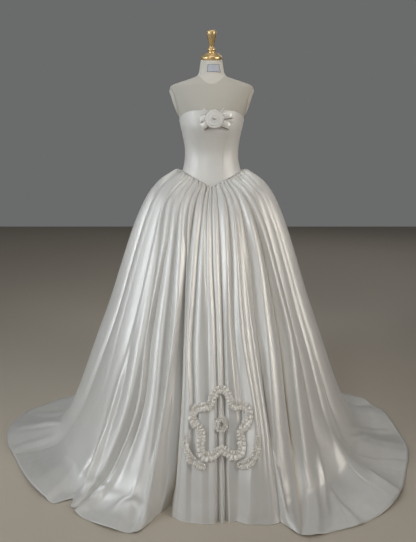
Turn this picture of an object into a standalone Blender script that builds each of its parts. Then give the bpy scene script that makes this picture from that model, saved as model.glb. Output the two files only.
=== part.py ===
"""Strapless satin ball gown on a limbless dress form.

Metres, +Z up, front of the gown toward -Y, its left side (as worn) toward +X.
Azimuth is measured in degrees round the form: 0 at the front, 90 toward +X.
"""
import math

import bpy
import numpy as np
from mathutils import Matrix, Vector
from mathutils.bvhtree import BVHTree

NAME = "wedding_dress"

# ---- sizes ---------------------------------------------------------------
SEAM_GAP = 0.0003           # between pieces sewn edge to edge
EASE = 0.0011               # between the form and the cloth worn on it
BODICE_WALL = 0.0020
SKIRT_WALL = 0.0018
RIBBON_WALL = 0.0012
LABEL_WALL = 0.0010

TORSO_COLUMNS = 34
TORSO_ROUNDNESS = 2.12      # 2 is an ellipse, more is squarer
NECK_TOP = 1.608
NECK_TILT = math.radians(16.0)
NECK_TILT_FROM = 1.530
TORSO_FOOT = 0.780
BUST_HEIGHT = 1.288
BUST_AZIMUTH = 30.0
BUST_REACH = 0.008
BUST_SPREAD = 26.0          # degrees
BUST_TALL = 0.055

POLE_RADIUS = 0.016
BASE_RADIUS = 0.190
BASE_HEIGHT = 0.016

FLOOR_RADIUS_SIDE_LEFT = 0.600
FLOOR_RADIUS_SIDE_RIGHT = 0.628   # the skirt is fuller on this side
FLOOR_RADIUS_FRONT = 0.655
FLOOR_RADIUS_BACK = 0.625
TRAIN_FROM = 0.030          # a hem this far past the fall starts to lie on the floor
TRAIN_FULL = 0.120
BACK_FOLDS = 12
FLANK_SHARE = 0.40          # how far down a fold's flank line lies
GATHER_STEEP = 0.80         # a gather's depth is at most this share of its width
TRAIN_PLAN_SHARE = 0.35     # share of a fold's depth left in plan on the floor

# height, half width, front reach, back reach of the bare form
TORSO = (
    (0.780, 0.160, 0.100, 0.120),
    (0.890, 0.173, 0.108, 0.130),
    (1.000, 0.160, 0.107, 0.124),
    (1.036, 0.151, 0.104, 0.118),
    (1.070, 0.141, 0.101, 0.110),
    (1.112, 0.127, 0.096, 0.098),
    (1.130, 0.1207, 0.092, 0.093),
    (1.150, 0.1171, 0.088, 0.088),
    (1.168, 0.1151, 0.086, 0.0863),
    (1.185, 0.1147, 0.085, 0.086),
    (1.203, 0.1157, 0.088, 0.088),
    (1.221, 0.1182, 0.094, 0.091),
    (1.239, 0.1202, 0.102, 0.094),
    (1.257, 0.1237, 0.110, 0.097),
    (1.275, 0.1277, 0.117, 0.100),
    (1.293, 0.1327, 0.122, 0.103),
    (1.311, 0.1372, 0.125, 0.106),
    (1.338, 0.1412, 0.127, 0.109),
    (1.365, 0.1505, 0.125, 0.112),
    (1.401, 0.1645, 0.118, 0.115),
    (1.437, 0.1765, 0.108, 0.115),
    (1.472, 0.1862, 0.096, 0.110),
    (1.483, 0.1868, 0.092, 0.107),
    (1.491, 0.1785, 0.088, 0.104),
    (1.500, 0.1555, 0.084, 0.100),
    (1.509, 0.1275, 0.080, 0.094),
    (1.518, 0.1015, 0.075, 0.086),
    (1.527, 0.0770, 0.069, 0.077),
    (1.537, 0.0640, 0.063, 0.068),
    (1.554, 0.0562, 0.056, 0.058),
    (1.581, 0.0522, 0.051, 0.052),
    (1.608, 0.0488, 0.0488, 0.0488),
)

# azimuth from the front, height of the bodice's upper edge
NECKLINE = (
    (0, 1.3680), (34, 1.3670), (50, 1.3620), (72, 1.3460),
    (90, 1.3285), (120, 1.3150), (180, 1.3050),
)
# azimuth from the front, height of the waist seam: a dropped point in front
WAIST_SEAM = (
    (0, 1.0360), (7, 1.0430), (15, 1.0530), (30, 1.0685), (45, 1.0840),
    (60, 1.0980), (75, 1.1070), (90, 1.1125), (135, 1.1050), (180, 1.1000),
)
# panel, its two edges' azimuth at the top, at the foot, number of strips
BODICE_PANELS = (
    ("bodice_front", -36, 36, -24, 24, 10),
    ("bodice_side_front_left", 36, 90, 24, 90, 7),
    ("bodice_side_back_left", 90, 140, 90, 142, 5),
    ("bodice_back_left", 140, 180, 142, 180, 4),
    ("bodice_back_right", 180, 220, 180, 218, 4),
    ("bodice_side_back_right", 220, 270, 218, 270, 5),
    ("bodice_side_front_right", 270, 324, 270, 336, 7),
)
BODICE_ROWS = 14

# ---- skirt tables --------------------------------------------------------
# rows of the fall: share of the reach, share of the seam's height, drop in m,
# share of a fold's depth, full depth of the small gathers in m
FALL_ROWS = (
    (0.000, 1.000, 0.0030, 0.00, 0.0008),
    (0.018, 1.000, 0.0024, 0.04, 0.0026),
    (0.053, 1.003, 0.0000, 0.16, 0.0076),
    (0.120, 0.987, 0.0000, 0.36, 0.0120),
    (0.200, 0.963, 0.0000, 0.60, 0.0120),
    (0.290, 0.919, 0.0000, 0.84, 0.0084),
    (0.370, 0.853, 0.0000, 1.00, 0.0042),
    (0.450, 0.760, 0.0000, 1.00, 0.0014),
    (0.540, 0.632, 0.0000, 1.00, 0.0),
    (0.630, 0.502, 0.0000, 1.00, 0.0),
    (0.720, 0.388, 0.0000, 1.00, 0.0),
    (0.805, 0.279, 0.0000, 1.00, 0.0),
    (0.880, 0.183, 0.0000, 1.00, 0.0),
)
# rows of the foot. Where the hem stands: share of the reach, share of the height.
# Where it trains: share of the reach, share of the train, height share, lift share
FOOT_ROWS = (
    (0.940, 0.100, 0.955, 0.00, 0.100, 0.10),
    (0.968, 0.052, 1.000, 0.06, 0.042, 0.55),
    (0.985, 0.025, 1.000, 0.28, 0.011, 1.00),
    (0.994, 0.010, 1.000, 0.62, 0.000, 0.90),
    (1.000, 0.000, 1.000, 1.00, 0.000, 0.40),
)
# rows where the crease table gives its azimuths
CREASE_AT = (0, 3, 6, 9, 11, 17)
DEPTH_AT = (6, 9, 17)
# azimuths at those rows but the first, then depth in mm at hip, knee and hem (0 on a ridge)
CREASES = (
    (-93.0, -90.0, -90.0, -90.0, -92.0, 14, 24, 20),
    (-84.0, -76.0, -75.0, -74.0, -80.0, 0, 0, 0),
    (-78.0, -66.0, -64.0, -66.0, -70.0, 16, 28, 22),
    (-72.0, -53.5, -51.0, -50.0, -55.0, 0, 0, 0),
    (-60.0, -44.0, -39.5, -40.0, -40.5, 17, 30, 34),
    (-50.0, -36.0, -34.5, -34.5, -33.0, 0, 0, 0),
    (-44.0, -31.5, -28.0, -27.0, -26.0, 14, 24, 20),
    (-39.0, -25.5, -23.8, -22.8, -21.8, 0, 0, 0),
    (-33.5, -22.3, -18.2, -17.0, -18.6, 7, 10, 8),
    (-28.5, -19.0, -15.9, -14.4, -15.6, 0, 0, 0),
    (-22.5, -14.3, -13.3, -12.0, -14.0, 9, 20, 36),
    (-16.5, -10.6, -10.8, -9.6, -9.6, 0, 0, 0),
    (-12.3, -8.0, -7.2, -6.2, -6.3, 7, 9, 7),
    (-9.2, -5.9, -5.2, -3.8, -3.7, 0, 0, 0),
    (-6.6, -4.3, -3.0, -2.3, -1.7, 6, 7, 6),
    (-4.4, -2.8, -1.0, -0.6, 0.1, 0, 0, 0),
    (-1.9, -1.0, 0.7, 1.4, 1.6, 7, 10, 20),
    (1.2, 1.2, 2.3, 2.9, 2.9, 0, 0, 0),
    (4.5, 3.9, 4.3, 4.4, 4.2, 6, 9, 18),
    (8.2, 7.4, 6.5, 6.0, 5.7, 0, 0, 0),
    (12.5, 10.8, 9.2, 8.6, 7.4, 7, 11, 12),
    (17.0, 14.6, 13.2, 13.3, 10.8, 0, 0, 0),
    (20.2, 16.6, 15.3, 15.6, 13.2, 4, 6, 6),
    (23.4, 18.6, 17.4, 17.8, 15.8, 0, 0, 0),
    (28.5, 22.8, 21.4, 20.5, 18.6, 12, 22, 18),
    (34.5, 27.7, 25.6, 23.6, 22.2, 0, 0, 0),
    (42.0, 34.6, 32.2, 30.4, 29.5, 15, 28, 24),
    (49.0, 40.0, 37.2, 35.0, 36.0, 0, 0, 0),
    (57.0, 45.4, 46.2, 45.0, 45.0, 13, 22, 20),
    (62.5, 51.0, 52.6, 52.0, 53.0, 0, 0, 0),
    (68.0, 60.0, 59.0, 58.0, 61.0, 15, 24, 20),
    (75.0, 71.0, 66.0, 64.0, 69.5, 0, 0, 0),
    (82.0, 80.0, 77.0, 76.0, 80.0, 15, 25, 20),
    (90.0, 90.0, 89.0, 89.0, 92.0, 0, 0, 0),
)
CENTRE_LINE = 17            # the crease line at the waist's point
SEAM_EVEN = 0.5             # how evenly the gathers are spread along the seam
BACK_FROM = 99.0
BACK_TO = 259.0
BACK_DEPTHS = (13.0, 20.0, 16.0)
# azimuth, how far the hem's outline lies from the form's axis
HEM = (
    (-180.0, 1.000), (-165.0, 0.980), (-150.0, 0.905), (-135.0, 0.800),
    (-122.0, 0.720), (-112.0, 0.690), (-100.0, 0.768), (-91.0, 0.868),
    (-84.6, 0.873), (-74.0, 0.853), (-66.7, 0.823), (-58.2, 0.803),
    (-49.0, 0.789), (-43.0, 0.778), (-40.5, 0.722), (-38.0, 0.752),
    (-33.3, 0.758), (-24.3, 0.755), (-21.5, 0.7515), (-18.6, 0.738),
    (-15.6, 0.632), (-14.0, 0.636), (-9.6, 0.656), (0.0, 0.661),
    (5.0, 0.655), (10.8, 0.676), (15.8, 0.690), (18.6, 0.697),
    (20.4, 0.762), (22.2, 0.774), (27.8, 0.788), (36.0, 0.814),
    (46.6, 0.828), (53.0, 0.826), (66.8, 0.819), (77.3, 0.815),
    (86.6, 0.800), (95.2, 0.783), (102.0, 0.765), (107.0, 0.700),
    (116.0, 0.675), (124.0, 0.722), (135.0, 0.800), (150.0, 0.905),
    (165.0, 0.980), (180.0, 1.000),
)
TRAIN_LIFT = 0.018
# skirt panel, first and last crease line (each a valley), counted in the full ring
SKIRT_PANELS = (
    ("skirt_front", 2, 30),
    ("skirt_side_left", 30, 38),
    ("skirt_back_left", 38, 46),
    ("skirt_back_right", 46, 54),
    ("skirt_side_right", 54, 60),
)

# ---- rosette and appliqué tables -----------------------------------------
ROSETTE_X = 0.0115
ROSETTE_Z = 1.3280
FLOWER_RADIUS = 0.0385
FLOWER_DEPTH = 0.0085
FLOWER_LIFT = 0.0105
FLOWER_HUB = 0.0080          # radius where the flower is sewn down
FLOWER_STEP = 0.0022
FLOWER_TURNS = 3
BEAD_RADIUS = 0.0055
RIBBON_WIDTH = 0.021
# ribbon piece: start x, z and end x, z from the flower's centre, width, lift off
# the bodice, rise of its end
RIBBON_TAILS = (
    ("bow_tail_low_left", -0.012, -0.014, -0.050, -0.037, 0.021, 0.0004, 0.004),
    ("bow_tail_low_right", 0.012, -0.014, 0.064, -0.031, 0.022, 0.0004, 0.003),
    ("bow_tail_right", 0.020, -0.010, 0.078, -0.013, 0.011, 0.0021, 0.004),
    ("bow_tail_up_left", -0.018, 0.026, -0.047, 0.040, 0.008, 0.0004, 0.002),
    ("bow_tail_up_right", 0.020, 0.027, 0.041, 0.041, 0.008, 0.0004, 0.002),
)
LOOP_SPRING = 0.25           # share of a loop's rise taken by its lower run
LOOP_END = 0.07              # share of a loop's length taken by its turn
LOOP_GAP = 0.0006            # between a loop's two runs where it is sewn
RIBBON_LOOPS = (
    ("bow_loop_left", -0.014, 0.008, -0.060, 0.006, 0.022, 0.0004, 0.008),
    ("bow_loop_right", 0.018, 0.009, 0.074, 0.020, 0.024, 0.0004, 0.010),
    ("bow_loop_top", 0.002, 0.017, -0.001, 0.041, 0.020, 0.0004, 0.006),
)

MOTIF_X = 0.028
MOTIF_Z = 0.262
PETALS = 5
PETAL_RADIUS = 0.100
PETAL_NOTCH = 0.32
BAND_WIDTH = 0.024
BAND_LIFT = 0.0022
LEAF_LIFT = 0.0011
RUCHE_HIGH = 0.0034
PETAL_RUCHES = 30
LEAF_RUCHES = 9
LEAF_FROM = -66.0           # degrees round the flower
LEAF_TO = -14.0
LEAF_RADIUS = 0.122
LEAF_BOW = 0.014
HEART_RADIUS = 0.024
HEART_RUCHES = 9
BRIDGE = 0.009              # reach over which a band bridges the folds below
LEAN_REACH = 0.040          # reach over which the skirt's broad slope is read
BRIDGE_STEPS = (
    (0.5, 0), (-0.5, 0), (1, 0), (-1, 0), (0, 1), (0, -1),
    (0.6, 0.6), (-0.6, 0.6), (0.6, -0.6), (-0.6, -0.6),
)

# name: base colour, roughness, metallic
FINISHES = {
    "satin": ((0.80, 0.79, 0.76), 0.35, 0.0),
    "ribbon": ((0.82, 0.80, 0.74), 0.40, 0.0),
    "form_cloth": ((0.62, 0.59, 0.52), 0.80, 0.0),
    "plate_cloth": ((0.70, 0.69, 0.63), 0.70, 0.0),
    "gold": ((0.80, 0.52, 0.20), 0.28, 1.0),
    "pole_steel": ((0.60, 0.60, 0.58), 0.35, 1.0),
    "base_black": ((0.05, 0.05, 0.05), 0.45, 0.0),
    "pearl": ((0.90, 0.88, 0.84), 0.18, 0.0),
    "label": ((0.58, 0.60, 0.66), 0.60, 0.0),
}


# ---- curves --------------------------------------------------------------
def curve(xs, ys, x):
    """Smooth line through a table's points that never overshoots them."""
    xs = np.asarray(xs, float)
    ys = np.asarray(ys, float)
    x = np.clip(np.asarray(x, float), xs[0], xs[-1])
    step = np.diff(xs)
    slope = np.diff(ys) / step
    tangent = np.zeros(len(xs))
    before, after = slope[:-1], slope[1:]
    same = before * after > 0
    total = np.where(same, before + after, 1.0)
    tangent[1:-1] = np.where(same, 2.0 * before * after / total, 0.0)
    tangent[0], tangent[-1] = slope[0], slope[-1]
    k = np.clip(np.searchsorted(xs, x, side="right") - 1, 0, len(xs) - 2)
    t = (x - xs[k]) / step[k]
    start = (1 + 2 * t) * (1 - t) ** 2 * ys[k] + t * (1 - t) ** 2 * step[k] * tangent[k]
    end = t * t * (3 - 2 * t) * ys[k + 1] + t * t * (t - 1) * step[k] * tangent[k + 1]
    return start + end


def table_curve(table, x, column=1):
    """The same smooth line through one column of a table of rows."""
    return curve([row[0] for row in table], [row[column] for row in table], x)


def smoothstep(x):
    x = np.clip(x, 0.0, 1.0)
    return x * x * (3 - 2 * x)


def from_front(azimuth):
    """Azimuth folded to 0 to 180 degrees either side of the front."""
    return np.abs((np.asarray(azimuth, float) + 180.0) % 360.0 - 180.0)


def around(radius, azimuth, height):
    """Points from radius, azimuth in degrees and height."""
    angle = np.radians(azimuth)
    return np.stack([radius * np.sin(angle), -radius * np.cos(angle), height], axis=-1)


# ---- the form's surface --------------------------------------------------
def torso_radius(azimuth, height):
    """Distance of the bare form's surface from its axis."""
    angle = np.radians(azimuth)
    half_width = table_curve(TORSO, height, 1)
    front = table_curve(TORSO, height, 2)
    back = table_curve(TORSO, height, 3)
    depth = np.where(np.cos(angle) > 0, front, back)
    across = (np.abs(np.sin(angle)) / half_width) ** TORSO_ROUNDNESS
    along = (np.abs(np.cos(angle)) / depth) ** TORSO_ROUNDNESS
    radius = (across + along) ** (-1.0 / TORSO_ROUNDNESS)
    turn = (from_front(azimuth) - BUST_AZIMUTH) / BUST_SPREAD
    rise = (height - BUST_HEIGHT) / BUST_TALL
    return radius + BUST_REACH * np.exp(-turn ** 2 - rise ** 2)


def torso_point(azimuth, height, clear=0.0):
    """Point on the form, or clear of it by the given distance."""
    point = around(torso_radius(azimuth, height) + clear, azimuth, height)
    blend = smoothstep((point[..., 2] - NECK_TILT_FROM) / (NECK_TOP - NECK_TILT_FROM))
    point[..., 2] += point[..., 1] * math.tan(NECK_TILT) * blend
    return point


# ---- the skirt's surface -------------------------------------------------
def crease_lines():
    """All crease lines round the skirt: azimuths and depths at the table's rows."""
    lines = [list(row) for row in CREASES]
    count = 2 * BACK_FOLDS
    for index in range(count):
        azimuth = BACK_FROM + (BACK_TO - BACK_FROM) * index / (count - 1)
        sway = 1.1 * math.sin(2.3 * index)
        row = [azimuth + sway * share for share in (0.2, 1.0, 0.6, -0.4, -1.0)]
        uneven = 1.0 + 0.28 * math.sin(1.7 * index + 0.6)
        valley = index % 2 == 0
        row += [depth * uneven if valley else 0.0 for depth in BACK_DEPTHS]
        lines.append(row)
    lines = np.array(lines, float)
    step = 360.0 / len(lines)
    even = lines[CENTRE_LINE, 0] + step * (np.arange(len(lines)) - CENTRE_LINE)
    seam = SEAM_EVEN * even + (1.0 - SEAM_EVEN) * lines[:, 0]
    return np.column_stack([seam, lines])


def skirt_columns():
    """Azimuth and depth of every column at every row, flank lines included."""
    lines = crease_lines()
    rows = np.arange(len(FALL_ROWS) + len(FOOT_ROWS))
    azimuths = np.array([curve(CREASE_AT, line[:6], rows) for line in lines])
    depths = np.array([curve(DEPTH_AT, line[6:], rows) for line in lines]) / 1000.0
    following = np.roll(azimuths, -1, axis=0)
    following[-1] += 360.0
    next_depths = np.roll(depths, -1, axis=0)
    ridge = np.minimum(depths, next_depths)
    valley = np.maximum(depths, next_depths)
    column_azimuth = np.empty((2 * len(lines), len(rows)))
    column_depth = np.empty_like(column_azimuth)
    column_azimuth[0::2] = azimuths
    column_azimuth[1::2] = 0.5 * (azimuths + following)
    column_depth[0::2] = depths
    column_depth[1::2] = ridge + (valley - ridge) * FLANK_SHARE
    return column_azimuth, column_depth


def hem_radius(azimuth):
    folded = (np.asarray(azimuth, float) + 180.0) % 360.0 - 180.0
    return table_curve(HEM, folded)


def floor_radius(azimuth):
    """Where the fall meets the floor."""
    angle = np.radians(azimuth)
    depth = np.where(np.cos(angle) > 0, FLOOR_RADIUS_FRONT, FLOOR_RADIUS_BACK)
    side = np.where(np.sin(angle) > 0, FLOOR_RADIUS_SIDE_LEFT, FLOOR_RADIUS_SIDE_RIGHT)
    return ((np.sin(angle) / side) ** 2 + (np.cos(angle) / depth) ** 2) ** -0.5


def skirt_base(azimuth):
    """Radius and height of the unfolded skirt, for columns x rows of azimuths."""
    seam = table_curve(WAIST_SEAM, from_front(azimuth))
    start = torso_radius(azimuth, seam) + EASE
    hem = hem_radius(azimuth)
    floor = floor_radius(azimuth)
    train = hem - floor
    lying = smoothstep((train - TRAIN_FROM) / (TRAIN_FULL - TRAIN_FROM))
    radius = np.empty_like(azimuth)
    height = np.empty_like(azimuth)
    for row, (reach, level, drop, _, _) in enumerate(FALL_ROWS):
        foot = hem[:, row] + (floor[:, row] - hem[:, row]) * lying[:, row]
        radius[:, row] = start[:, row] + (foot - start[:, row]) * reach
        height[:, row] = seam[:, row] * level - drop
    for offset, (reach, level, floor_reach, out, low, _) in enumerate(FOOT_ROWS):
        row = len(FALL_ROWS) + offset
        standing = start[:, row] + (hem[:, row] - start[:, row]) * reach
        fall = start[:, row] + (floor[:, row] - start[:, row]) * floor_reach
        trained = fall + train[:, row] * out
        radius[:, row] = standing + (trained - standing) * lying[:, row]
        share = level + (low - level) * lying[:, row]
        height[:, row] = seam[:, row] * share
    return radius, height, lying


def skirt_inner():
    """The skirt's inner surface as columns x rows of points."""
    azimuth, depth = skirt_columns()
    radius, height, lying = skirt_base(azimuth)
    fall = len(FALL_ROWS)
    out = np.gradient(radius, axis=1)
    down = -np.gradient(height, axis=1)
    length = np.hypot(out, down)
    lean_out = down / length
    lean_up = out / length
    lean_out[:, fall:] = 1.0
    lean_up[:, fall:] = 0.0
    lean_up[:, 0] = 0.0
    share = np.ones(radius.shape[1])
    share[:fall] = [row[3] for row in FALL_ROWS]
    gather = np.zeros(radius.shape[1])
    gather[:fall] = [row[4] for row in FALL_ROWS]
    on_floor = smoothstep((np.arange(radius.shape[1]) - fall + 1) / 3.0)
    plan = 1.0 - (1.0 - TRAIN_PLAN_SHARE) * lying * on_floor
    sink = depth * share * plan
    before, after = np.roll(azimuth, 1, axis=0), np.roll(azimuth, -1, axis=0)
    before[0] -= 360.0
    after[-1] += 360.0
    spacing = np.radians(0.5 * (after - before)) * radius
    sink[1::2] += np.minimum(gather, GATHER_STEEP * spacing)[1::2]
    radius = radius - sink * lean_out
    height = height - sink * lean_up
    deepest = np.maximum(np.roll(depth, 2, axis=0), np.roll(depth, -2, axis=0))
    crest = 1.0 - np.clip(depth / np.maximum(deepest, depth).clip(0.001), 0.0, 1.0)
    lift = np.zeros(radius.shape[1])
    lift[fall:] = [row[5] for row in FOOT_ROWS]
    height = height + TRAIN_LIFT * crest ** 1.5 * lift * lying
    return around(radius, azimuth, np.maximum(height, 0.0))


# ---- mesh helpers --------------------------------------------------------
def material(name):
    """Principled finish by name, made once."""
    found = bpy.data.materials.get(name)
    if found:
        return found
    colour, roughness, metallic = FINISHES[name]
    made = bpy.data.materials.new(name)
    made.use_nodes = True
    shader = made.node_tree.nodes["Principled BSDF"]
    shader.inputs["Base Color"].default_value = (*colour, 1.0)
    shader.inputs["Roughness"].default_value = roughness
    shader.inputs["Metallic"].default_value = metallic
    made.diffuse_color = (*colour, 1.0)
    return made


def add_object(name, points, faces, finish):
    """New smooth-shaded object in the gown's collection."""
    mesh = bpy.data.meshes.new(name)
    mesh.from_pydata([tuple(point) for point in points], [], faces)
    mesh.materials.append(material(finish))
    mesh.polygons.foreach_set("use_smooth", [True] * len(mesh.polygons))
    made = bpy.data.objects.new(name, mesh)
    bpy.data.collections[NAME].objects.link(made)
    return made


def outward(grid):
    """Unit normals of a grid of columns to the right and rows downward."""
    across = np.gradient(grid, axis=0)
    down = np.gradient(grid, axis=1)
    normal = np.cross(down, across)
    return normal / np.linalg.norm(normal, axis=-1, keepdims=True)


def split(points, quad):
    """The quad's two triangles, cut along its shorter diagonal."""
    a, b, c, d = quad
    if np.linalg.norm(points[a] - points[c]) <= np.linalg.norm(points[b] - points[d]):
        return (a, b, c), (a, c, d)
    return (a, b, d), (b, c, d)


def shell(name, inner, outer, finish, ring=False):
    """Closed wall between two grids; ring joins the last column to the first."""
    columns, rows = inner.shape[:2]
    points = np.concatenate([outer.reshape(-1, 3), inner.reshape(-1, 3)])
    shift = columns * rows
    faces = []
    last = columns if ring else columns - 1
    for i in range(last):
        k = (i + 1) % columns
        for j in range(rows - 1):
            quad = (i * rows + j, i * rows + j + 1, k * rows + j + 1, k * rows + j)
            for triangle in split(points, quad):
                faces.append(triangle)
                faces.append(tuple(shift + corner for corner in reversed(triangle)))
        top, top_next = i * rows, k * rows
        foot, foot_next = top + rows - 1, top_next + rows - 1
        faces.append((top, top_next, shift + top_next, shift + top))
        faces.append((foot_next, foot, shift + foot, shift + foot_next))
    if not ring:
        end = (columns - 1) * rows
        for j in range(rows - 1):
            faces.append((j + 1, j, shift + j, shift + j + 1))
            faces.append((end + j, end + j + 1, shift + end + j + 1, shift + end + j))
    return add_object(name, points, faces, finish)


def turned(name, profile, finish, segments, frame):
    """Turned solid: profile of radius and height down the outer side, then placed."""
    mesh = bpy.data.meshes.new(name)
    points = [(radius, 0.0, height) for radius, height in profile]
    edges = [(index, index + 1) for index in range(len(points) - 1)]
    mesh.from_pydata(points, edges, [])
    mesh.materials.append(material(finish))
    made = bpy.data.objects.new(name, mesh)
    bpy.data.collections[NAME].objects.link(made)
    made.matrix_world = frame
    screw = made.modifiers.new("turn", "SCREW")
    screw.axis = "Z"
    screw.steps = segments
    screw.render_steps = segments
    screw.use_merge_vertices = True
    screw.merge_threshold = 0.00005
    screw.use_smooth_shade = True
    return made


# ---- the form ------------------------------------------------------------
def build_torso():
    azimuths = np.arange(TORSO_COLUMNS) * 360.0 / TORSO_COLUMNS
    heights = np.array([row[0] for row in reversed(TORSO)])
    grid = np.array([[torso_point(a, z) for z in heights] for a in azimuths])
    rows = len(heights)
    points = grid.reshape(-1, 3)
    faces = []
    for i in range(TORSO_COLUMNS):
        k = (i + 1) % TORSO_COLUMNS
        for j in range(rows - 1):
            faces.append((i * rows + j, i * rows + j + 1, k * rows + j + 1, k * rows + j))
    faces.append(tuple(i * rows for i in range(TORSO_COLUMNS)))
    faces.append(tuple(i * rows + rows - 1 for i in reversed(range(TORSO_COLUMNS))))
    return add_object("form_torso", points, faces, "form_cloth")


def build_patch(name, azimuths, heights, finish, wall):
    """Thin patch that follows the form."""
    grid = np.array([[torso_point(a, z, EASE) for z in heights] for a in azimuths])
    return shell(name, grid, grid + outward(grid) * wall, finish)


def build_label():
    azimuths = np.linspace(-20.0, 40.0, 7)
    heights = np.linspace(1.5900, 1.5430, 4)
    return build_patch("form_label", azimuths, heights, "label", LABEL_WALL)


def build_arm_plate(name, side):
    """Oval plate that closes the form's arm cut."""
    rings, spokes = 2, 16
    wall = 0.003
    middle, half_tall, half_turn = 1.4165, 0.062, 17.0
    flat = []
    for ring in range(rings + 1):
        for spoke in range(spokes):
            turn = 2 * math.pi * spoke / spokes
            share = ring / rings
            azimuth = 90.0 + half_turn * share * math.cos(turn)
            height = middle + half_tall * share * math.sin(turn)
            flat.append((azimuth * side, height))
    clear = 0.0012
    inner = np.array([torso_point(a, z, clear) for a, z in flat])
    swell = np.repeat([1.0, 0.9, 0.45], spokes) * wall
    outer = np.array([torso_point(a, z, clear + s) for (a, z), s in zip(flat, swell)])
    points = np.concatenate([outer[spokes - 1:], inner[spokes - 1:]])
    shift = len(points) // 2
    faces = []
    for ring in range(rings):
        for spoke in range(spokes):
            follow = (spoke + 1) % spokes
            near = 1 + (ring - 1) * spokes
            far = near + spokes
            if ring == 0:
                quad = (0, far + spoke, far + follow)
            else:
                quad = (near + spoke, far + spoke, far + follow, near + follow)
            faces.append(quad)
            faces.append(tuple(shift + corner for corner in reversed(quad)))
    rim = 1 + (rings - 1) * spokes
    for spoke in range(spokes):
        follow = (spoke + 1) % spokes
        faces.append((rim + spoke, shift + rim + spoke, shift + rim + follow, rim + follow))
    if side < 0:
        faces = [tuple(reversed(face)) for face in faces]
    return add_object(name, points, faces, "plate_cloth")


def build_stand():
    """Neck cap and handle on the tilted neck, pole and foot below."""
    tilt = Matrix.Rotation(NECK_TILT, 4, "X")
    neck = Matrix.Translation(Vector((0.0, 0.0, NECK_TOP))) @ tilt
    gap = SEAM_GAP
    cap_top = 0.030
    cap = (
        (0.0, cap_top), (0.0300, cap_top), (0.0325, 0.0285), (0.0345, 0.0245),
        (0.0420, 0.0205), (0.0470, 0.0150), (0.0487, 0.0085), (0.0470, 0.0025),
        (0.0455, gap), (0.0, gap),
    )
    turned("form_neck_cap", cap, "gold", 24, neck)
    handle = (
        (0.0, 0.1310), (0.0110, 0.1302), (0.0185, 0.1270), (0.0218, 0.1205),
        (0.0220, 0.1130), (0.0196, 0.1000), (0.0156, 0.0830), (0.0124, 0.0690),
        (0.0106, 0.0590), (0.0112, 0.0535), (0.0165, 0.0505), (0.0185, 0.0445),
        (0.0165, 0.0392), (0.0138, 0.0365), (0.0156, 0.0325), (0.0156, cap_top + gap),
        (0.0, cap_top + gap),
    )
    turned("form_handle", handle, "gold", 20, neck)
    pole = (
        (0.0, TORSO_FOOT - gap), (POLE_RADIUS, TORSO_FOOT - gap),
        (POLE_RADIUS, BASE_HEIGHT + gap), (0.0, BASE_HEIGHT + gap),
    )
    turned("form_pole", pole, "pole_steel", 16, Matrix())
    foot = (
        (0.0, BASE_HEIGHT), (BASE_RADIUS - 0.012, BASE_HEIGHT),
        (BASE_RADIUS - 0.004, BASE_HEIGHT - 0.003), (BASE_RADIUS, BASE_HEIGHT - 0.009),
        (BASE_RADIUS, 0.0), (0.0, 0.0),
    )
    turned("form_base", foot, "base_black", 32, Matrix())


# ---- the bodice ----------------------------------------------------------
def bodice_grid(top_from, top_to, foot_from, foot_to, strips, clear):
    """Points of one bodice panel, its edges drawn back for the seams."""
    drawn = math.degrees(0.5 * SEAM_GAP / 0.115)
    grid = []
    for i in range(strips + 1):
        across = i / strips
        column = []
        for j in range(BODICE_ROWS + 1):
            down = j / BODICE_ROWS
            left = top_from + (foot_from - top_from) * down + drawn
            right = top_to + (foot_to - top_to) * down - drawn
            azimuth = left + (right - left) * across
            top = table_curve(NECKLINE, from_front(azimuth))
            foot = table_curve(WAIST_SEAM, from_front(azimuth))
            column.append(torso_point(azimuth, top + (foot - top) * down, clear))
        grid.append(column)
    return np.array(grid)


def build_bodice():
    for name, top_from, top_to, foot_from, foot_to, strips in BODICE_PANELS:
        size = (top_from, top_to, foot_from, foot_to, strips)
        inner = bodice_grid(*size, EASE)
        outer = bodice_grid(*size, EASE + BODICE_WALL)
        shell(name, inner, outer, "satin")


# ---- the skirt -----------------------------------------------------------
def build_skirt():
    """The gathered panels; returns the front panel's outer points."""
    inner = skirt_inner()
    count = len(inner)
    wrapped = np.concatenate([inner[-2:], inner, inner[:2]])
    normal = outward(wrapped)
    normal[1:-1] += 0.5 * (normal[:-2] + normal[2:])
    normal /= np.linalg.norm(normal, axis=-1, keepdims=True)
    normal = normal[2:-2]
    normal[:, -1, 2] = np.maximum(normal[:, -1, 2], 0.0)
    outer = inner + normal * SKIRT_WALL
    outer[..., 2] = np.maximum(outer[..., 2], 0.0)
    front = None
    for name, first, last in SKIRT_PANELS:
        index = np.arange(2 * first, 2 * last + 1) % count
        sides = []
        for grid in (inner, outer):
            part = grid[index].copy()
            for edge, near in ((0, 1), (-1, -2)):
                toward = part[near] - part[edge]
                toward /= np.linalg.norm(toward, axis=-1, keepdims=True)
                part[edge] += toward * SEAM_GAP
            sides.append(part)
        shell(name, sides[0], sides[1], "satin")
        if name == "skirt_front":
            front = sides[1]
    return front


# ---- rosette -------------------------------------------------------------
def bodice_front_point(x, z, lift):
    """Point at x and z on the bodice's front, moved out by lift."""
    azimuth = 0.0
    for _ in range(6):
        radius = torso_radius(azimuth, z) + EASE + BODICE_WALL + lift
        azimuth = math.degrees(math.asin(max(-1.0, min(1.0, x / radius))))
    return around(radius, azimuth, z)


def strip_frame(row):
    """Centre line and unit side step of a ribbon piece."""
    _, x0, z0, x1, z1, width, _, _ = row
    length = math.hypot(x1 - x0, z1 - z0)
    side = (-(z1 - z0) / length * width / 2, (x1 - x0) / length * width / 2)
    return length, side


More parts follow.
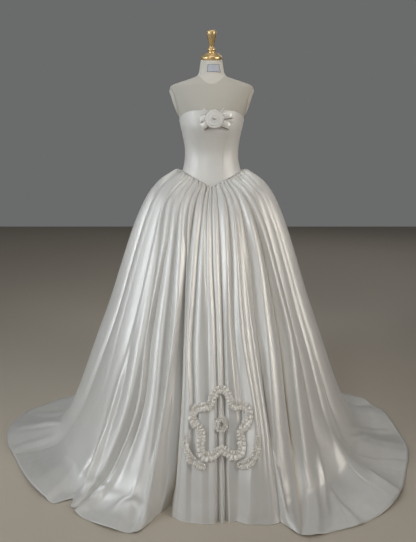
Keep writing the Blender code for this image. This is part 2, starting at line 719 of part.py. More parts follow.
def build_tail(row):
    """Flat ribbon end that leaves the bodice a little at its tip."""
    name, x0, z0, x1, z1, _, lift, rise = row
    _, side = strip_frame(row)
    steps = 5
    grids = []
    for wall in (0.0, RIBBON_WALL):
        grid = []
        for step in range(steps + 1):
            share = step / steps
            column = []
            for across in (1.0, 0.0, -1.0):
                x = ROSETTE_X + x0 + (x1 - x0) * share + side[0] * across
                z = ROSETTE_Z + z0 + (z1 - z0) * share + side[1] * across
                off = lift + rise * share ** 2 + wall
                column.append(bodice_front_point(x, z, off))
            grid.append(column)
        grids.append(np.array(grid))
    if x1 < x0:
        grids = [grid[:, ::-1] for grid in grids]
        grids = [grid[::-1] for grid in grids]
    return shell(name, grids[0], grids[1], "ribbon")


def build_loop(row):
    """Ribbon that runs out, turns back on itself and returns, open at both sides."""
    name, x0, z0, x1, z1, _, lift, rise = row
    length, side = strip_frame(row)
    low = lift + RIBBON_WALL
    high = low + rise
    path = []
    for share in (0.0, 0.35, 0.7, 0.9):
        path.append((share * length, low + rise * LOOP_SPRING * share))
    spring = low + rise * LOOP_SPRING
    middle, reach = 0.5 * (spring + high), 0.5 * (high - spring)
    for turn in (-50, 0, 50):
        angle = math.radians(turn)
        along = (1.0 - LOOP_END) * length + LOOP_END * length * math.cos(angle)
        path.append((along, middle + reach * math.sin(angle)))
    closed = low + RIBBON_WALL + LOOP_GAP
    for share in (0.88, 0.6, 0.3, 0.02):
        path.append((share * length, closed + (high - closed) * share ** 0.5))
    path = np.array(path)
    flow = np.gradient(path, axis=0)
    flow /= np.linalg.norm(flow, axis=1, keepdims=True)
    away = np.stack([flow[:, 1], -flow[:, 0]], axis=1)
    grids = []
    for line in (path, path + away * RIBBON_WALL):
        grid = []
        for along, off in line:
            column = []
            for across in (1.0, -1.0):
                x = ROSETTE_X + x0 + (x1 - x0) * along / length + side[0] * across
                z = ROSETTE_Z + z0 + (z1 - z0) * along / length + side[1] * across
                column.append(bodice_front_point(x, z, off))
            grid.append(column)
        grids.append(np.array(grid))
    return shell(name, grids[1], grids[0], "ribbon")


def build_flower():
    """Flat wound cloth flower with stepped turns and its bead."""
    spokes, rings = 24, 5
    lift = FLOWER_LIFT
    origin = bodice_front_point(ROSETTE_X, ROSETTE_Z, lift)
    points = [origin + np.array([0.0, -FLOWER_DEPTH, 0.0])]
    for ring in range(1, rings + 1):
        share = ring / rings
        for spoke in range(spokes):
            turn = spoke / spokes
            angle = 2 * math.pi * turn
            wound = (share * FLOWER_TURNS + turn) % 1.0
            ripple = 1.0 + 0.03 * math.sin(5 * angle) * share
            radius = FLOWER_RADIUS * share * ripple
            high = FLOWER_DEPTH * (1.0 - 0.45 * share ** 2) + FLOWER_STEP * (wound - 0.5)
            points.append(origin + np.array([radius * math.cos(angle), -high,
                                             radius * math.sin(angle)]))
    sewn = FLOWER_LIFT - SEAM_GAP - 0.0003
    for radius, back in ((FLOWER_RADIUS * 0.96, 0.0), (FLOWER_HUB + 0.002, 0.0),
                         (FLOWER_HUB, sewn)):
        for spoke in range(spokes):
            angle = 2 * math.pi * spoke / spokes
            points.append(origin + np.array([radius * math.cos(angle), back,
                                             radius * math.sin(angle)]))
    faces = []
    for spoke in range(spokes):
        follow = (spoke + 1) % spokes
        faces.append((0, 1 + spoke, 1 + follow))
        for ring in range(rings + 2):
            near = 1 + ring * spokes
            far = near + spokes
            faces.append((near + spoke, far + spoke, far + follow, near + follow))
    last = 1 + (rings + 2) * spokes
    faces.append(tuple(last + spoke for spoke in reversed(range(spokes))))
    flower = add_object("flower", points, faces, "satin")
    bead_at = origin + np.array([0.003, -FLOWER_DEPTH - BEAD_RADIUS - 0.0008, 0.003])
    bead = [(0.0, BEAD_RADIUS)]
    for step in range(1, 8):
        angle = math.pi * step / 8
        bead.append((BEAD_RADIUS * math.sin(angle), BEAD_RADIUS * math.cos(angle)))
    bead.append((0.0, -BEAD_RADIUS))
    turned("flower_bead", bead, "pearl", 12, Matrix.Translation(Vector(bead_at)))
    return flower


def build_rosette():
    for row in RIBBON_TAILS:
        build_tail(row)
    for row in RIBBON_LOOPS:
        build_loop(row)
    build_flower()


# ---- ruched appliqué -----------------------------------------------------
class SkirtFace:
    """The front panel's outer surface, met by lines along Y."""

    def __init__(self, grid):
        columns, rows = grid.shape[:2]
        faces = []
        for i in range(columns - 1):
            for j in range(rows - 1):
                a, b = i * rows + j, (i + 1) * rows + j
                faces.append((a, a + 1, b + 1))
                faces.append((a, b + 1, b))
        self.tree = BVHTree.FromPolygons([Vector(p) for p in grid.reshape(-1, 3)], faces)

    def meet(self, x, z):
        """The y at which a line along Y meets the surface."""
        return self.tree.ray_cast(Vector((x, -2.0, z)), Vector((0.0, 1.0, 0.0)))[0].y

    def front(self, x, z):
        """How far forward a band lies at x and z so that it bridges the folds."""
        right, left = self.meet(x + LEAN_REACH, z), self.meet(x - LEAN_REACH, z)
        above, below = self.meet(x, z + LEAN_REACH), self.meet(x, z - LEAN_REACH)
        lean_x, lean_z = 0.5 * (right - left), 0.5 * (above - below)
        nearest = self.meet(x, z)
        for dx, dz in BRIDGE_STEPS:
            found = self.meet(x + dx * BRIDGE, z + dz * BRIDGE)
            lean = (dx * lean_x + dz * lean_z) * BRIDGE / LEAN_REACH
            nearest = min(nearest, found - lean)
        return nearest


def ruched_band(name, face, line, waves, width, lift, ring):
    """Gathered ribbon along a line of x, z points on the skirt's front."""
    count = 2 * waves
    line = np.array(line)
    if ring:
        ahead, behind = np.roll(line, -1, axis=0), np.roll(line, 1, axis=0)
        flow = ahead - behind
    else:
        flow = np.gradient(line, axis=0)
    flow /= np.linalg.norm(flow, axis=1, keepdims=True)
    side = np.stack([-flow[:, 1], flow[:, 0]], axis=1)
    inner, outer = [], []
    for index in range(count if ring else count + 1):
        crest = index % 2
        taper = 1.0 if ring else 0.45 + 0.55 * math.sin(math.pi * index / count) ** 0.5
        half = 0.5 * width * taper * (1.0 + 0.10 * (1 - 2 * crest))
        low, high = [], []
        for across, puff in ((1.0, 0.15), (0.0, 1.0), (-1.0, 0.15)):
            x, z = line[index] + side[index] * half * across
            y = face.front(x, z) - lift
            low.append((x, y, z))
            high.append((x, y - RIBBON_WALL - RUCHE_HIGH * puff * (0.35 + 0.65 * crest), z))
        inner.append(low)
        outer.append(high)
    return shell(name, np.array(inner), np.array(outer), "ribbon", ring)


def build_motif(front):
    """Open five-petalled flower of ruched ribbon with a heart and two leaves."""
    face = SkirtFace(front)
    count = 2 * PETAL_RUCHES
    petals = []
    for index in range(count):
        angle = math.pi / 2 + 2 * math.pi * index / count
        lobe = 0.5 + 0.5 * math.cos(PETALS * (angle - math.pi / 2))
        swell = PETAL_RADIUS * (1.0 - PETAL_NOTCH * (1.0 - lobe))
        petals.append((MOTIF_X + swell * math.cos(angle), MOTIF_Z + swell * math.sin(angle)))
    ruched_band("applique_petals", face, petals, PETAL_RUCHES, BAND_WIDTH, BAND_LIFT, True)
    count = 2 * HEART_RUCHES
    heart = []
    for index in range(count):
        angle = 2 * math.pi * index / count
        heart.append((MOTIF_X + HEART_RADIUS * 0.62 * math.cos(angle),
                      MOTIF_Z + HEART_RADIUS * 0.62 * math.sin(angle)))
    ruched_band("applique_heart", face, heart, HEART_RUCHES, HEART_RADIUS * 0.7,
                BAND_LIFT, True)
    count = 2 * LEAF_RUCHES
    for name, way in (("applique_leaf_left", 1), ("applique_leaf_right", -1)):
        leaf = []
        for index in range(count + 1):
            share = index / count
            angle = math.radians(LEAF_FROM + (LEAF_TO - LEAF_FROM) * share)
            radius = LEAF_RADIUS + LEAF_BOW * math.sin(math.pi * share)
            leaf.append((MOTIF_X + way * radius * math.cos(angle),
                         MOTIF_Z + radius * math.sin(angle)))
        ruched_band(name, face, leaf, LEAF_RUCHES, BAND_WIDTH, LEAF_LIFT, False)


# ---- build ---------------------------------------------------------------
def clear_scene():
    for old in list(bpy.data.objects):
        bpy.data.objects.remove(old, do_unlink=True)
    for old in list(bpy.data.collections):
        bpy.data.collections.remove(old)
    made = bpy.data.collections.new(NAME)
    bpy.context.scene.collection.children.link(made)


def main():
    clear_scene()
    build_torso()
    build_label()
    build_arm_plate("form_arm_plate_left", 1)
    build_arm_plate("form_arm_plate_right", -1)
    build_stand()
    build_bodice()
    front = build_skirt()
    build_rosette()
    build_motif(front)


main()
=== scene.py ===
"""Looks of a strapless satin ball gown on a limbless dress form.

Metres, +Z up, front of the gown toward -Y, its left side (as worn) toward +X.
Azimuth is measured in degrees round the form: 0 at the front, 90 toward +X.
"""
from __future__ import annotations

import logging
import math
from dataclasses import dataclass, field
from enum import Enum

import bpy
import numpy as np
from mathutils import Matrix, Vector
from mathutils.bvhtree import BVHTree


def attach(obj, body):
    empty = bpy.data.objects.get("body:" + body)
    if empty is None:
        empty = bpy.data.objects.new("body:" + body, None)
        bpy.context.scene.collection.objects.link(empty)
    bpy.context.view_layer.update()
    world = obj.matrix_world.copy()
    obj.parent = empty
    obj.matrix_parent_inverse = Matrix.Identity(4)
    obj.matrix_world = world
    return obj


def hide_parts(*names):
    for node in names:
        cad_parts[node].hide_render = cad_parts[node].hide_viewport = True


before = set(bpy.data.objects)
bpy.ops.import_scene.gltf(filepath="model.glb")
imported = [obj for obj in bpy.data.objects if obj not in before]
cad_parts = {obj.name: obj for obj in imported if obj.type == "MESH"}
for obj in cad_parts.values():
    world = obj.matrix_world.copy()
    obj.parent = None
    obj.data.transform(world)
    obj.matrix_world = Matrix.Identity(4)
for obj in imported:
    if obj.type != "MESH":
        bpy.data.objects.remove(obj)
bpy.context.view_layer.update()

LOG = logging.getLogger("gown")
Array = np.ndarray
Grid = np.ndarray


# ---- smooth lines through tables -----------------------------------------
def curve(xs: Array, ys: Array, x: Array) -> Array:
    """Smooth line through points that never overshoots them.

    Args:
        xs: rising places of the points.
        ys: their values.
        x: places to read.

    Returns:
        The values at x.
    """
    xs = np.asarray(xs, float)
    ys = np.asarray(ys, float)
    x = np.clip(np.asarray(x, float), xs[0], xs[-1])
    step = np.diff(xs)
    slope = np.diff(ys) / step
    tangent = np.zeros(len(xs))
    before, after = slope[:-1], slope[1:]
    same = before * after > 0
    total = np.where(same, before + after, 1.0)
    tangent[1:-1] = np.where(same, 2.0 * before * after / total, 0.0)
    tangent[0], tangent[-1] = slope[0], slope[-1]
    k = np.clip(np.searchsorted(xs, x, side="right") - 1, 0, len(xs) - 2)
    t = (x - xs[k]) / step[k]
    start = (1 + 2 * t) * (1 - t) ** 2 * ys[k] + t * (1 - t) ** 2 * step[k] * tangent[k]
    end = t * t * (3 - 2 * t) * ys[k + 1] + t * t * (t - 1) * step[k] * tangent[k + 1]
    return start + end


def table_curve(table: tuple, x: Array, column: int = 1) -> Array:
    """The smooth line through one column of a table of rows."""
    return curve([row[0] for row in table], [row[column] for row in table], x)


def smoothstep(x: Array) -> Array:
    """Soft step from 0 to 1 over x from 0 to 1."""
    x = np.clip(x, 0.0, 1.0)
    return x * x * (3 - 2 * x)


def from_front(azimuth: Array) -> Array:
    """Azimuth folded to 0 to 180 degrees either side of the front."""
    return np.abs((np.asarray(azimuth, float) + 180.0) % 360.0 - 180.0)


def around(radius: Array, azimuth: Array, height: Array) -> Grid:
    """Points from radius, azimuth in degrees and height."""
    angle = np.radians(azimuth)
    return np.stack([radius * np.sin(angle), -radius * np.cos(angle), height + 0 * angle], -1)


def outward(grid: Grid, ring: bool = False) -> Grid:
    """Unit normals of a grid of columns to the right and rows downward.

    Args:
        grid: columns x rows x 3 points.
        ring: the last column is followed by the first.

    Returns:
        The normals, in the grid's shape.
    """
    if ring:
        wide = np.concatenate([grid[-2:], grid, grid[:2]])
        return outward(wide)[2:-2]
    across = np.gradient(grid, axis=0)
    down = np.gradient(grid, axis=1)
    normal = np.cross(down, across)
    return normal / np.linalg.norm(normal, axis=-1, keepdims=True).clip(1e-12)


# ---- mesh helpers --------------------------------------------------------
class Piece:
    """One finished mesh object that rides with the part."""

    def __init__(self, name: str, points: Array, faces: list, uv: Array | None = None,
                 depth: Array | None = None) -> None:
        """Makes a smooth-shaded mesh.

        Args:
            name: the piece's name.
            points: its vertices.
            faces: vertex numbers of its faces, quads in an array or a mixed list.
            uv: a flat place in metres for each vertex.
            depth: share of the darker mixed-in colour at each vertex, mostly painted shade in
                folds and creases.
        """
        mesh = bpy.data.meshes.new(name)
        if isinstance(faces, np.ndarray):
            self._fill(mesh, np.asarray(points, np.float32), faces)
        else:
            mesh.from_pydata([tuple(point) for point in points], [], faces)
        mesh.polygons.foreach_set("use_smooth", np.ones(len(mesh.polygons), bool))
        if uv is not None:
            layer = mesh.uv_layers.new(name="cut")
            corner = np.empty(len(mesh.loops), np.int32)
            mesh.loops.foreach_get("vertex_index", corner)
            layer.data.foreach_set("uv", np.asarray(uv, np.float32)[corner].ravel())
        # The 'fold' attribute holds the mask of the darker colour, mostly painted shade.
        if depth is not None:
            mask = mesh.attributes.new("fold", "FLOAT", "POINT")
            mask.data.foreach_set("value", np.asarray(depth, np.float32).ravel())
        mesh.validate()
        self.object = bpy.data.objects.new(name, mesh)
        bpy.context.scene.collection.objects.link(self.object)

    @staticmethod
    def _fill(mesh: bpy.types.Mesh, points: Array, quads: Array) -> None:
        """Fills an empty mesh.

        Args:
            mesh: the mesh.
            points: its vertices.
            quads: vertex numbers of its faces.
        """
        mesh.vertices.add(len(points))
        mesh.vertices.foreach_set("co", points.ravel())
        mesh.loops.add(quads.size)
        mesh.loops.foreach_set("vertex_index", quads.astype(np.int32).ravel())
        mesh.polygons.add(len(quads))
        mesh.polygons.foreach_set("loop_start", np.arange(0, quads.size, 4, dtype=np.int32))
        mesh.update(calc_edges=True)

    def dress(self, finish: bpy.types.Material, slot: str, *nodes: str) -> bpy.types.Object:
        """Gives the piece its finish and its place in the part.

        Args:
            finish: its material.
            slot: the record's material slot; not used.
            nodes: the CAD nodes that it stands for.

        Returns:
            The Blender object.
        """
        made = self.object
        made.data.materials.clear()
        made.data.materials.append(finish)
        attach(made, "root")
        if nodes:
            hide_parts(*nodes)
        LOG.info("%s: %d vertices", made.name, len(made.data.vertices))
        return made


def grid_quads(columns: int, rows: int, ring: bool) -> Array:
    """Quads of a grid of points stored column by column, facing outward.

    Args:
        columns: points across.
        rows: points down.
        ring: the last column is followed by the first.

    Returns:
        Vertex numbers, a row for each quad.
    """
    first = np.arange(columns if ring else columns - 1)
    i, j = np.meshgrid(first, np.arange(rows - 1), indexing="ij")
    k = (i + 1) % columns
    quads = np.stack([i * rows + j, i * rows + j + 1, k * rows + j + 1, k * rows + j], -1)
    return quads.reshape(-1, 4)


def cloth(name: str, outer: Grid, wall: float, ring: bool = False,
          uv: Array | None = None, depth: Array | None = None) -> Piece:
    """Sheet of cloth with both faces and a rim.

    Args:
        name: the piece's name.
        outer: its outer face, columns x rows.
        wall: the cloth's thickness.
        ring: the last column is followed by the first.
        uv: flat place of each grid point.
        depth: share of the darker mixed-in colour at each grid point, mostly painted shade in
            folds and creases.

    Returns:
        The piece.
    """
    columns, rows = outer.shape[:2]
    normal = outward(outer, ring)
    inner = outer - normal * wall
    inner[..., 2] = np.maximum(inner[..., 2], min(0.0001, outer[..., 2].min()))
    points = np.concatenate([outer.reshape(-1, 3), inner.reshape(-1, 3)])
    shift = columns * rows
    face = grid_quads(columns, rows, ring)
    parts = [face, face[:, ::-1] + shift]
    i = np.arange(columns if ring else columns - 1)
    k = (i + 1) % columns
    top, top_next = i * rows, k * rows
    parts.append(np.stack([top, top_next, shift + top_next, shift + top], -1))
    foot, foot_next = top + rows - 1, top_next + rows - 1
    parts.append(np.stack([foot_next, foot, shift + foot, shift + foot_next], -1))
    if not ring:
        j = np.arange(rows - 1)
        end = (columns - 1) * rows + j
        parts.append(np.stack([j + 1, j, shift + j, shift + j + 1], -1))
        parts.append(np.stack([end, end + 1, shift + end + 1, shift + end], -1))
    if uv is not None:
        flat = uv.reshape(-1, 2)
        uv = np.concatenate([flat, flat])
    if depth is not None:
        depth = np.concatenate([depth.ravel(), depth.ravel()])
    return Piece(name, points, np.concatenate(parts), uv, depth)


def flat_places(grid: Grid) -> Array:
    """Flat place in metres of each grid point: across by mean width, down by length.

    Args:
        grid: points of the cloth's face.

    Returns:
        Both places of each point.
    """
    across = np.linalg.norm(np.diff(grid, axis=0), axis=-1).mean(axis=1)
    u = np.concatenate([[0.0], np.cumsum(across)])
    v = run_down(grid)
    return np.stack([u[:, None] + 0 * v, v], -1)


def run_down(grid: Grid) -> Array:
    """Length down each column from its first point to each point."""
    down = np.linalg.norm(np.diff(grid, axis=1), axis=-1)
    return np.concatenate([np.zeros((len(grid), 1)), np.cumsum(down, axis=1)], axis=1)


def capped(grid: Grid, middles: list | None = None, turned: bool = False) -> tuple:
    """Closed form from a ring of columns, with a fan over each end.

    Args:
        grid: columns round it x rows down it.
        middles: the fans' middles, first row's and last row's, or None for the means.
        turned: the columns run the other way round.

    Returns:
        Its points, the two middles last, and its faces.
    """
    columns, rows = grid.shape[:2]
    if middles is None:
        middles = [grid[:, 0].mean(axis=0), grid[:, -1].mean(axis=0)]
    points = np.concatenate([grid.reshape(-1, 3), middles])
    faces = [tuple(int(c) for c in quad) for quad in grid_quads(columns, rows, True)]
    top = columns * rows
    for i in range(columns):
        k = (i + 1) % columns
        faces.append((top, i * rows, k * rows))
        faces.append((top + 1, (k + 1) * rows - 1, (i + 1) * rows - 1))
    if turned:
        faces = [face[::-1] for face in faces]
    return points, faces


def lathe(name: str, profile: Array, segments: int, place: Matrix) -> Piece:
    """Turned piece from radius and height down its outer side.

    Args:
        name: the piece's name.
        profile: rows of radius and height, from the top's middle to the foot's middle.
        segments: faces round it.
        place: where it stands.

    Returns:
        The piece.
    """
    turn = np.arange(segments) * 2 * math.pi / segments
    rings = np.asarray(profile, float)[1:-1]
    body = np.stack([
        np.sin(turn)[:, None] * rings[:, 0],
        -np.cos(turn)[:, None] * rings[:, 0],
        rings[:, 1] + 0 * turn[:, None],
    ], -1)
    points, faces = capped(body, [[0, 0, profile[0][1]], [0, 0, profile[-1][1]]])
    points = np.array([place @ Vector(point) for point in points])
    return Piece(name, points, faces)


def rounded(profile: tuple, steps: int = 6, bite: float = 0.32) -> Array:
    """A turned profile with its corners softened.

    Args:
        profile: rows of radius and height; the first and last stand on the axis.
        steps: points on each softened corner.
        bite: share of each side that a corner takes.

    Returns:
        The denser profile.
    """
    points = np.asarray(profile, float)
    soft = [points[0]]
    for before, here, after in zip(points[:-2], points[1:-1], points[2:]):
        start, end = here + (before - here) * bite, here + (after - here) * bite
        for step in range(steps + 1):
            t = step / steps
            soft.append((1 - t) ** 2 * start + 2 * t * (1 - t) * here + t * t * end)
    soft.append(points[-1])
    return np.array(soft)


# ---- finishes ------------------------------------------------------------
class Weave(Enum):
    """How a cloth is woven, with its threads in each metre across and down."""

    SATIN = (1500.0, 900.0)
    RIBBON = (1800.0, 1100.0)
    JERSEY = (620.0, 620.0)
    LABEL = (1400.0, 1400.0)


class NodeTree:
    """Short hand for building one node tree."""

    def __init__(self, tree: bpy.types.NodeTree) -> None:
        """Keeps the tree."""
        self.tree = tree

    def add(self, kind: str, settings: dict | None = None, **inputs: object) -> bpy.types.Node:
        """Adds a node.

        Args:
            kind: its Blender class name.
            settings: attributes to set on it.
            inputs: values or sockets by input name, with _ for a space.

        Returns:
            The node.
        """
        node = self.tree.nodes.new(kind)
        for key, value in (settings or {}).items():
            setattr(node, key, value)
        for key, value in inputs.items():
            place = int(key[1:]) if key[0] == "_" else key.replace("_", " ")
            self.feed(node, place, value)
        return node

    def feed(self, node: bpy.types.Node, place: int | str, value: object) -> None:
        """Links a socket to an input, or sets the input's value.

        Args:
            node: whose input it is.
            place: the input's number or name.
            value: a socket or a plain value.
        """
        if isinstance(value, bpy.types.NodeSocket):
            self.tree.links.new(value, node.inputs[place])
        else:
            node.inputs[place].default_value = value

    def maths(self, operation: str, first: object, second: object = 0.0,
              third: object = 0.0) -> bpy.types.NodeSocket:
        """One step of arithmetic.

        Args:
            operation: its Blender name.
            first: socket or number, as are the others.
            second: the next one.
            third: the last one, where the operation takes three.

        Returns:
            The result's socket.
        """
        node = self.add("ShaderNodeMath", {"operation": operation}, _0=first, _1=second, _2=third)
        return node.outputs[0]

    def ramp(self, value: object, low: float, high: float) -> bpy.types.NodeSocket:
        """Soft step from 0 to 1.

        Args:
            value: what steps.
            low: its level at 0.
            high: its level at 1.

        Returns:
            The step's socket.
        """
        node = self.add("ShaderNodeMapRange", {"interpolation_type": "SMOOTHSTEP"},
                        Value=value, From_Min=low, From_Max=high)
        return node.outputs["Result"]

    def mix(self, share: object, first: object, second: object) -> bpy.types.NodeSocket:
        """Blend of two colours.

        Args:
            share: of the second one.
            first: colour at share 0.
            second: colour at share 1.

        Returns:
            The blended colour.
        """
        node = self.add("ShaderNodeMix", {"data_type": "RGBA"})
        self.feed(node, 0, share)
        self.feed(node, 6, first)
        self.feed(node, 7, second)
        return node.outputs[2]


class Effects:
    """Shader node groups that the finishes share, each built once."""

    def __init__(self) -> None:
        """Builds every group."""
        self.weave = self._weave()
        self.tone = self._tone()
        self.wear_and_shade = self._wear_and_shade()
        self.crease = self._crease()

    @staticmethod
    def _group(name: str, inputs: dict, outputs: dict) -> tuple:
        """Empty group with its sockets.

        Args:
            name: the group's name.
            inputs: name to (socket type, value).
            outputs: name to socket type.

        Returns:
            The tree, its helper, its input node and its output node.
        """
        tree = bpy.data.node_groups.new(name, "ShaderNodeTree")
        for key, (kind, value) in inputs.items():
            socket = tree.interface.new_socket(key, in_out="INPUT", socket_type=kind)
            if value is not None:
                socket.default_value = value
        for key, kind in outputs.items():
            tree.interface.new_socket(key, in_out="OUTPUT", socket_type=kind)
        kit = NodeTree(tree)
        return tree, kit, kit.add("NodeGroupInput"), kit.add("NodeGroupOutput")

    def _weave(self) -> bpy.types.NodeTree:
        """Threads over and under, with thicker slubs here and there.

        Returns:
            The group.
        """
        tree, kit, start, end = self._group(
            "cloth_weave",
            {"Place": ("NodeSocketVector", None), "Across": ("NodeSocketFloat", 1500.0),
             "Down": ("NodeSocketFloat", 900.0), "Slub": ("NodeSocketFloat", 0.3)},
            {"Height": "NodeSocketFloat", "Slubs": "NodeSocketFloat"},
        )
        parts = kit.add("ShaderNodeSeparateXYZ", Vector=start.outputs["Place"])
        across = kit.maths("MULTIPLY", parts.outputs[0], start.outputs["Across"])
        down = kit.maths("MULTIPLY", parts.outputs[1], start.outputs["Down"])
        warp = kit.maths("SINE", kit.maths("MULTIPLY", across, 2 * math.pi))
        weft = kit.maths("MULTIPLY", kit.maths("ADD", down, across), 2 * math.pi)
        weft = kit.maths("SINE", weft)
        stretch = kit.add("ShaderNodeVectorMath", {"operation": "MULTIPLY"},
                          _0=start.outputs["Place"], _1=(900.0, 14.0, 60.0))
        slub = kit.add("ShaderNodeTexNoise", Vector=stretch.outputs[0], Scale=1.0, Detail=3.0)
        slubs = kit.ramp(slub.outputs["Fac"], 0.52, 0.78)
        thread = kit.maths("MULTIPLY_ADD", warp, 0.6, kit.maths("MULTIPLY", weft, 0.4))
        height = kit.maths("MULTIPLY_ADD", slubs, start.outputs["Slub"],
                           kit.maths("MULTIPLY", thread, 0.5))
        kit.feed(end, "Height", height)
        kit.feed(end, "Slubs", slubs)
        return tree

    def _tone(self) -> bpy.types.NodeTree:
        """Broad and fine changes of tone over a cloth.

        Returns:
            The group.
        """
        tree, kit, start, end = self._group(
            "cloth_tone",
            {"Place": ("NodeSocketVector", None), "Scale": ("NodeSocketFloat", 4.0)},
            {"Broad": "NodeSocketFloat", "Fine": "NodeSocketFloat"},
        )
        broad = kit.add("ShaderNodeTexNoise", Vector=start.outputs["Place"],
                        Scale=start.outputs["Scale"], Detail=3.0, Roughness=0.55)
        fine_scale = kit.maths("MULTIPLY", start.outputs["Scale"], 14.0)
        fine = kit.add("ShaderNodeTexNoise", Vector=start.outputs["Place"],
                       Scale=fine_scale, Detail=4.0, Roughness=0.6)
        kit.feed(end, "Broad", kit.ramp(broad.outputs["Fac"], 0.32, 0.68))
        kit.feed(end, "Fine", kit.ramp(fine.outputs["Fac"], 0.35, 0.65))
        return tree

    def _wear_and_shade(self) -> bpy.types.NodeTree:
        """Floor dust with painted shade that darkens the cloth low down, and rubbing in patches.

        Returns:
            The group.
        """
        tree, kit, start, end = self._group(
            "floor_wear_and_shade",
            {"Place": ("NodeSocketVector", None), "Reach": ("NodeSocketFloat", 0.06)},
            {"Dust and shade": "NodeSocketFloat", "Rub": "NodeSocketFloat"},
        )
        parts = kit.add("ShaderNodeSeparateXYZ", Vector=start.outputs["Place"])
        patch = kit.add("ShaderNodeTexNoise", Vector=start.outputs["Place"],
                        Scale=38.0, Detail=5.0, Roughness=0.65)
        # Painted shade with floor dust: a darker colour over the lowest few centimetres, broken
        # into patches.
        low = kit.maths("DIVIDE", parts.outputs[2], start.outputs["Reach"])
        fade = kit.maths("SUBTRACT", 1.0, kit.ramp(low, 0.0, 1.0))
        kit.feed(end, "Dust and shade", kit.maths("MULTIPLY", fade, patch.outputs["Fac"]))
        rub = kit.add("ShaderNodeTexNoise", Vector=start.outputs["Place"],
                      Scale=9.0, Detail=6.0, Roughness=0.7)
        kit.feed(end, "Rub", kit.ramp(rub.outputs["Fac"], 0.50, 0.72))
        return tree

    def _crease(self) -> bpy.types.NodeTree:
        """Shallow handling marks: soft dents a few centimetres long.

        Returns:
            The group.
        """
        tree, kit, start, end = self._group(
            "cloth_handling",
            {"Place": ("NodeSocketVector", None), "Scale": ("NodeSocketFloat", 16.0)},
            {"Height": "NodeSocketFloat"},
        )
        stretch = kit.add("ShaderNodeVectorMath", {"operation": "MULTIPLY"},
                          _0=start.outputs["Place"], _1=(1.0, 1.0, 0.32))
        soft = kit.add("ShaderNodeTexNoise", Vector=stretch.outputs[0],
                       Scale=start.outputs["Scale"], Detail=2.0, Roughness=0.45, Distortion=0.5)
        kit.feed(end, "Height", soft.outputs["Fac"])
        return tree


def begun(finish: ClothFinish | HardFinish, effects: Effects) -> tuple:
    """Material with the parts that every finish starts from.

    Args:
        finish: gives its name, its two colours and the scale of its tone.
        effects: the shared groups.

    Returns:
        The material, its helper, shader and place, the tone node, the node of floor dust with
        painted shade and rubbing, the colour.
    """
    made = bpy.data.materials.new(finish.name)
    made.use_nodes = True
    kit = NodeTree(made.node_tree)
    shader = made.node_tree.nodes["Principled BSDF"]
    place = kit.add("ShaderNodeNewGeometry").outputs["Position"]
    tone = kit.add("ShaderNodeGroup", {"node_tree": effects.tone},
                   Place=place, Scale=finish.tone_scale)
    wear_and_shade = kit.add("ShaderNodeGroup", {"node_tree": effects.wear_and_shade}, Place=place)
    body = kit.mix(tone.outputs["Broad"], (*finish.colour, 1.0), (*finish.shade, 1.0))
    return made, kit, shader, place, tone, wear_and_shade, body


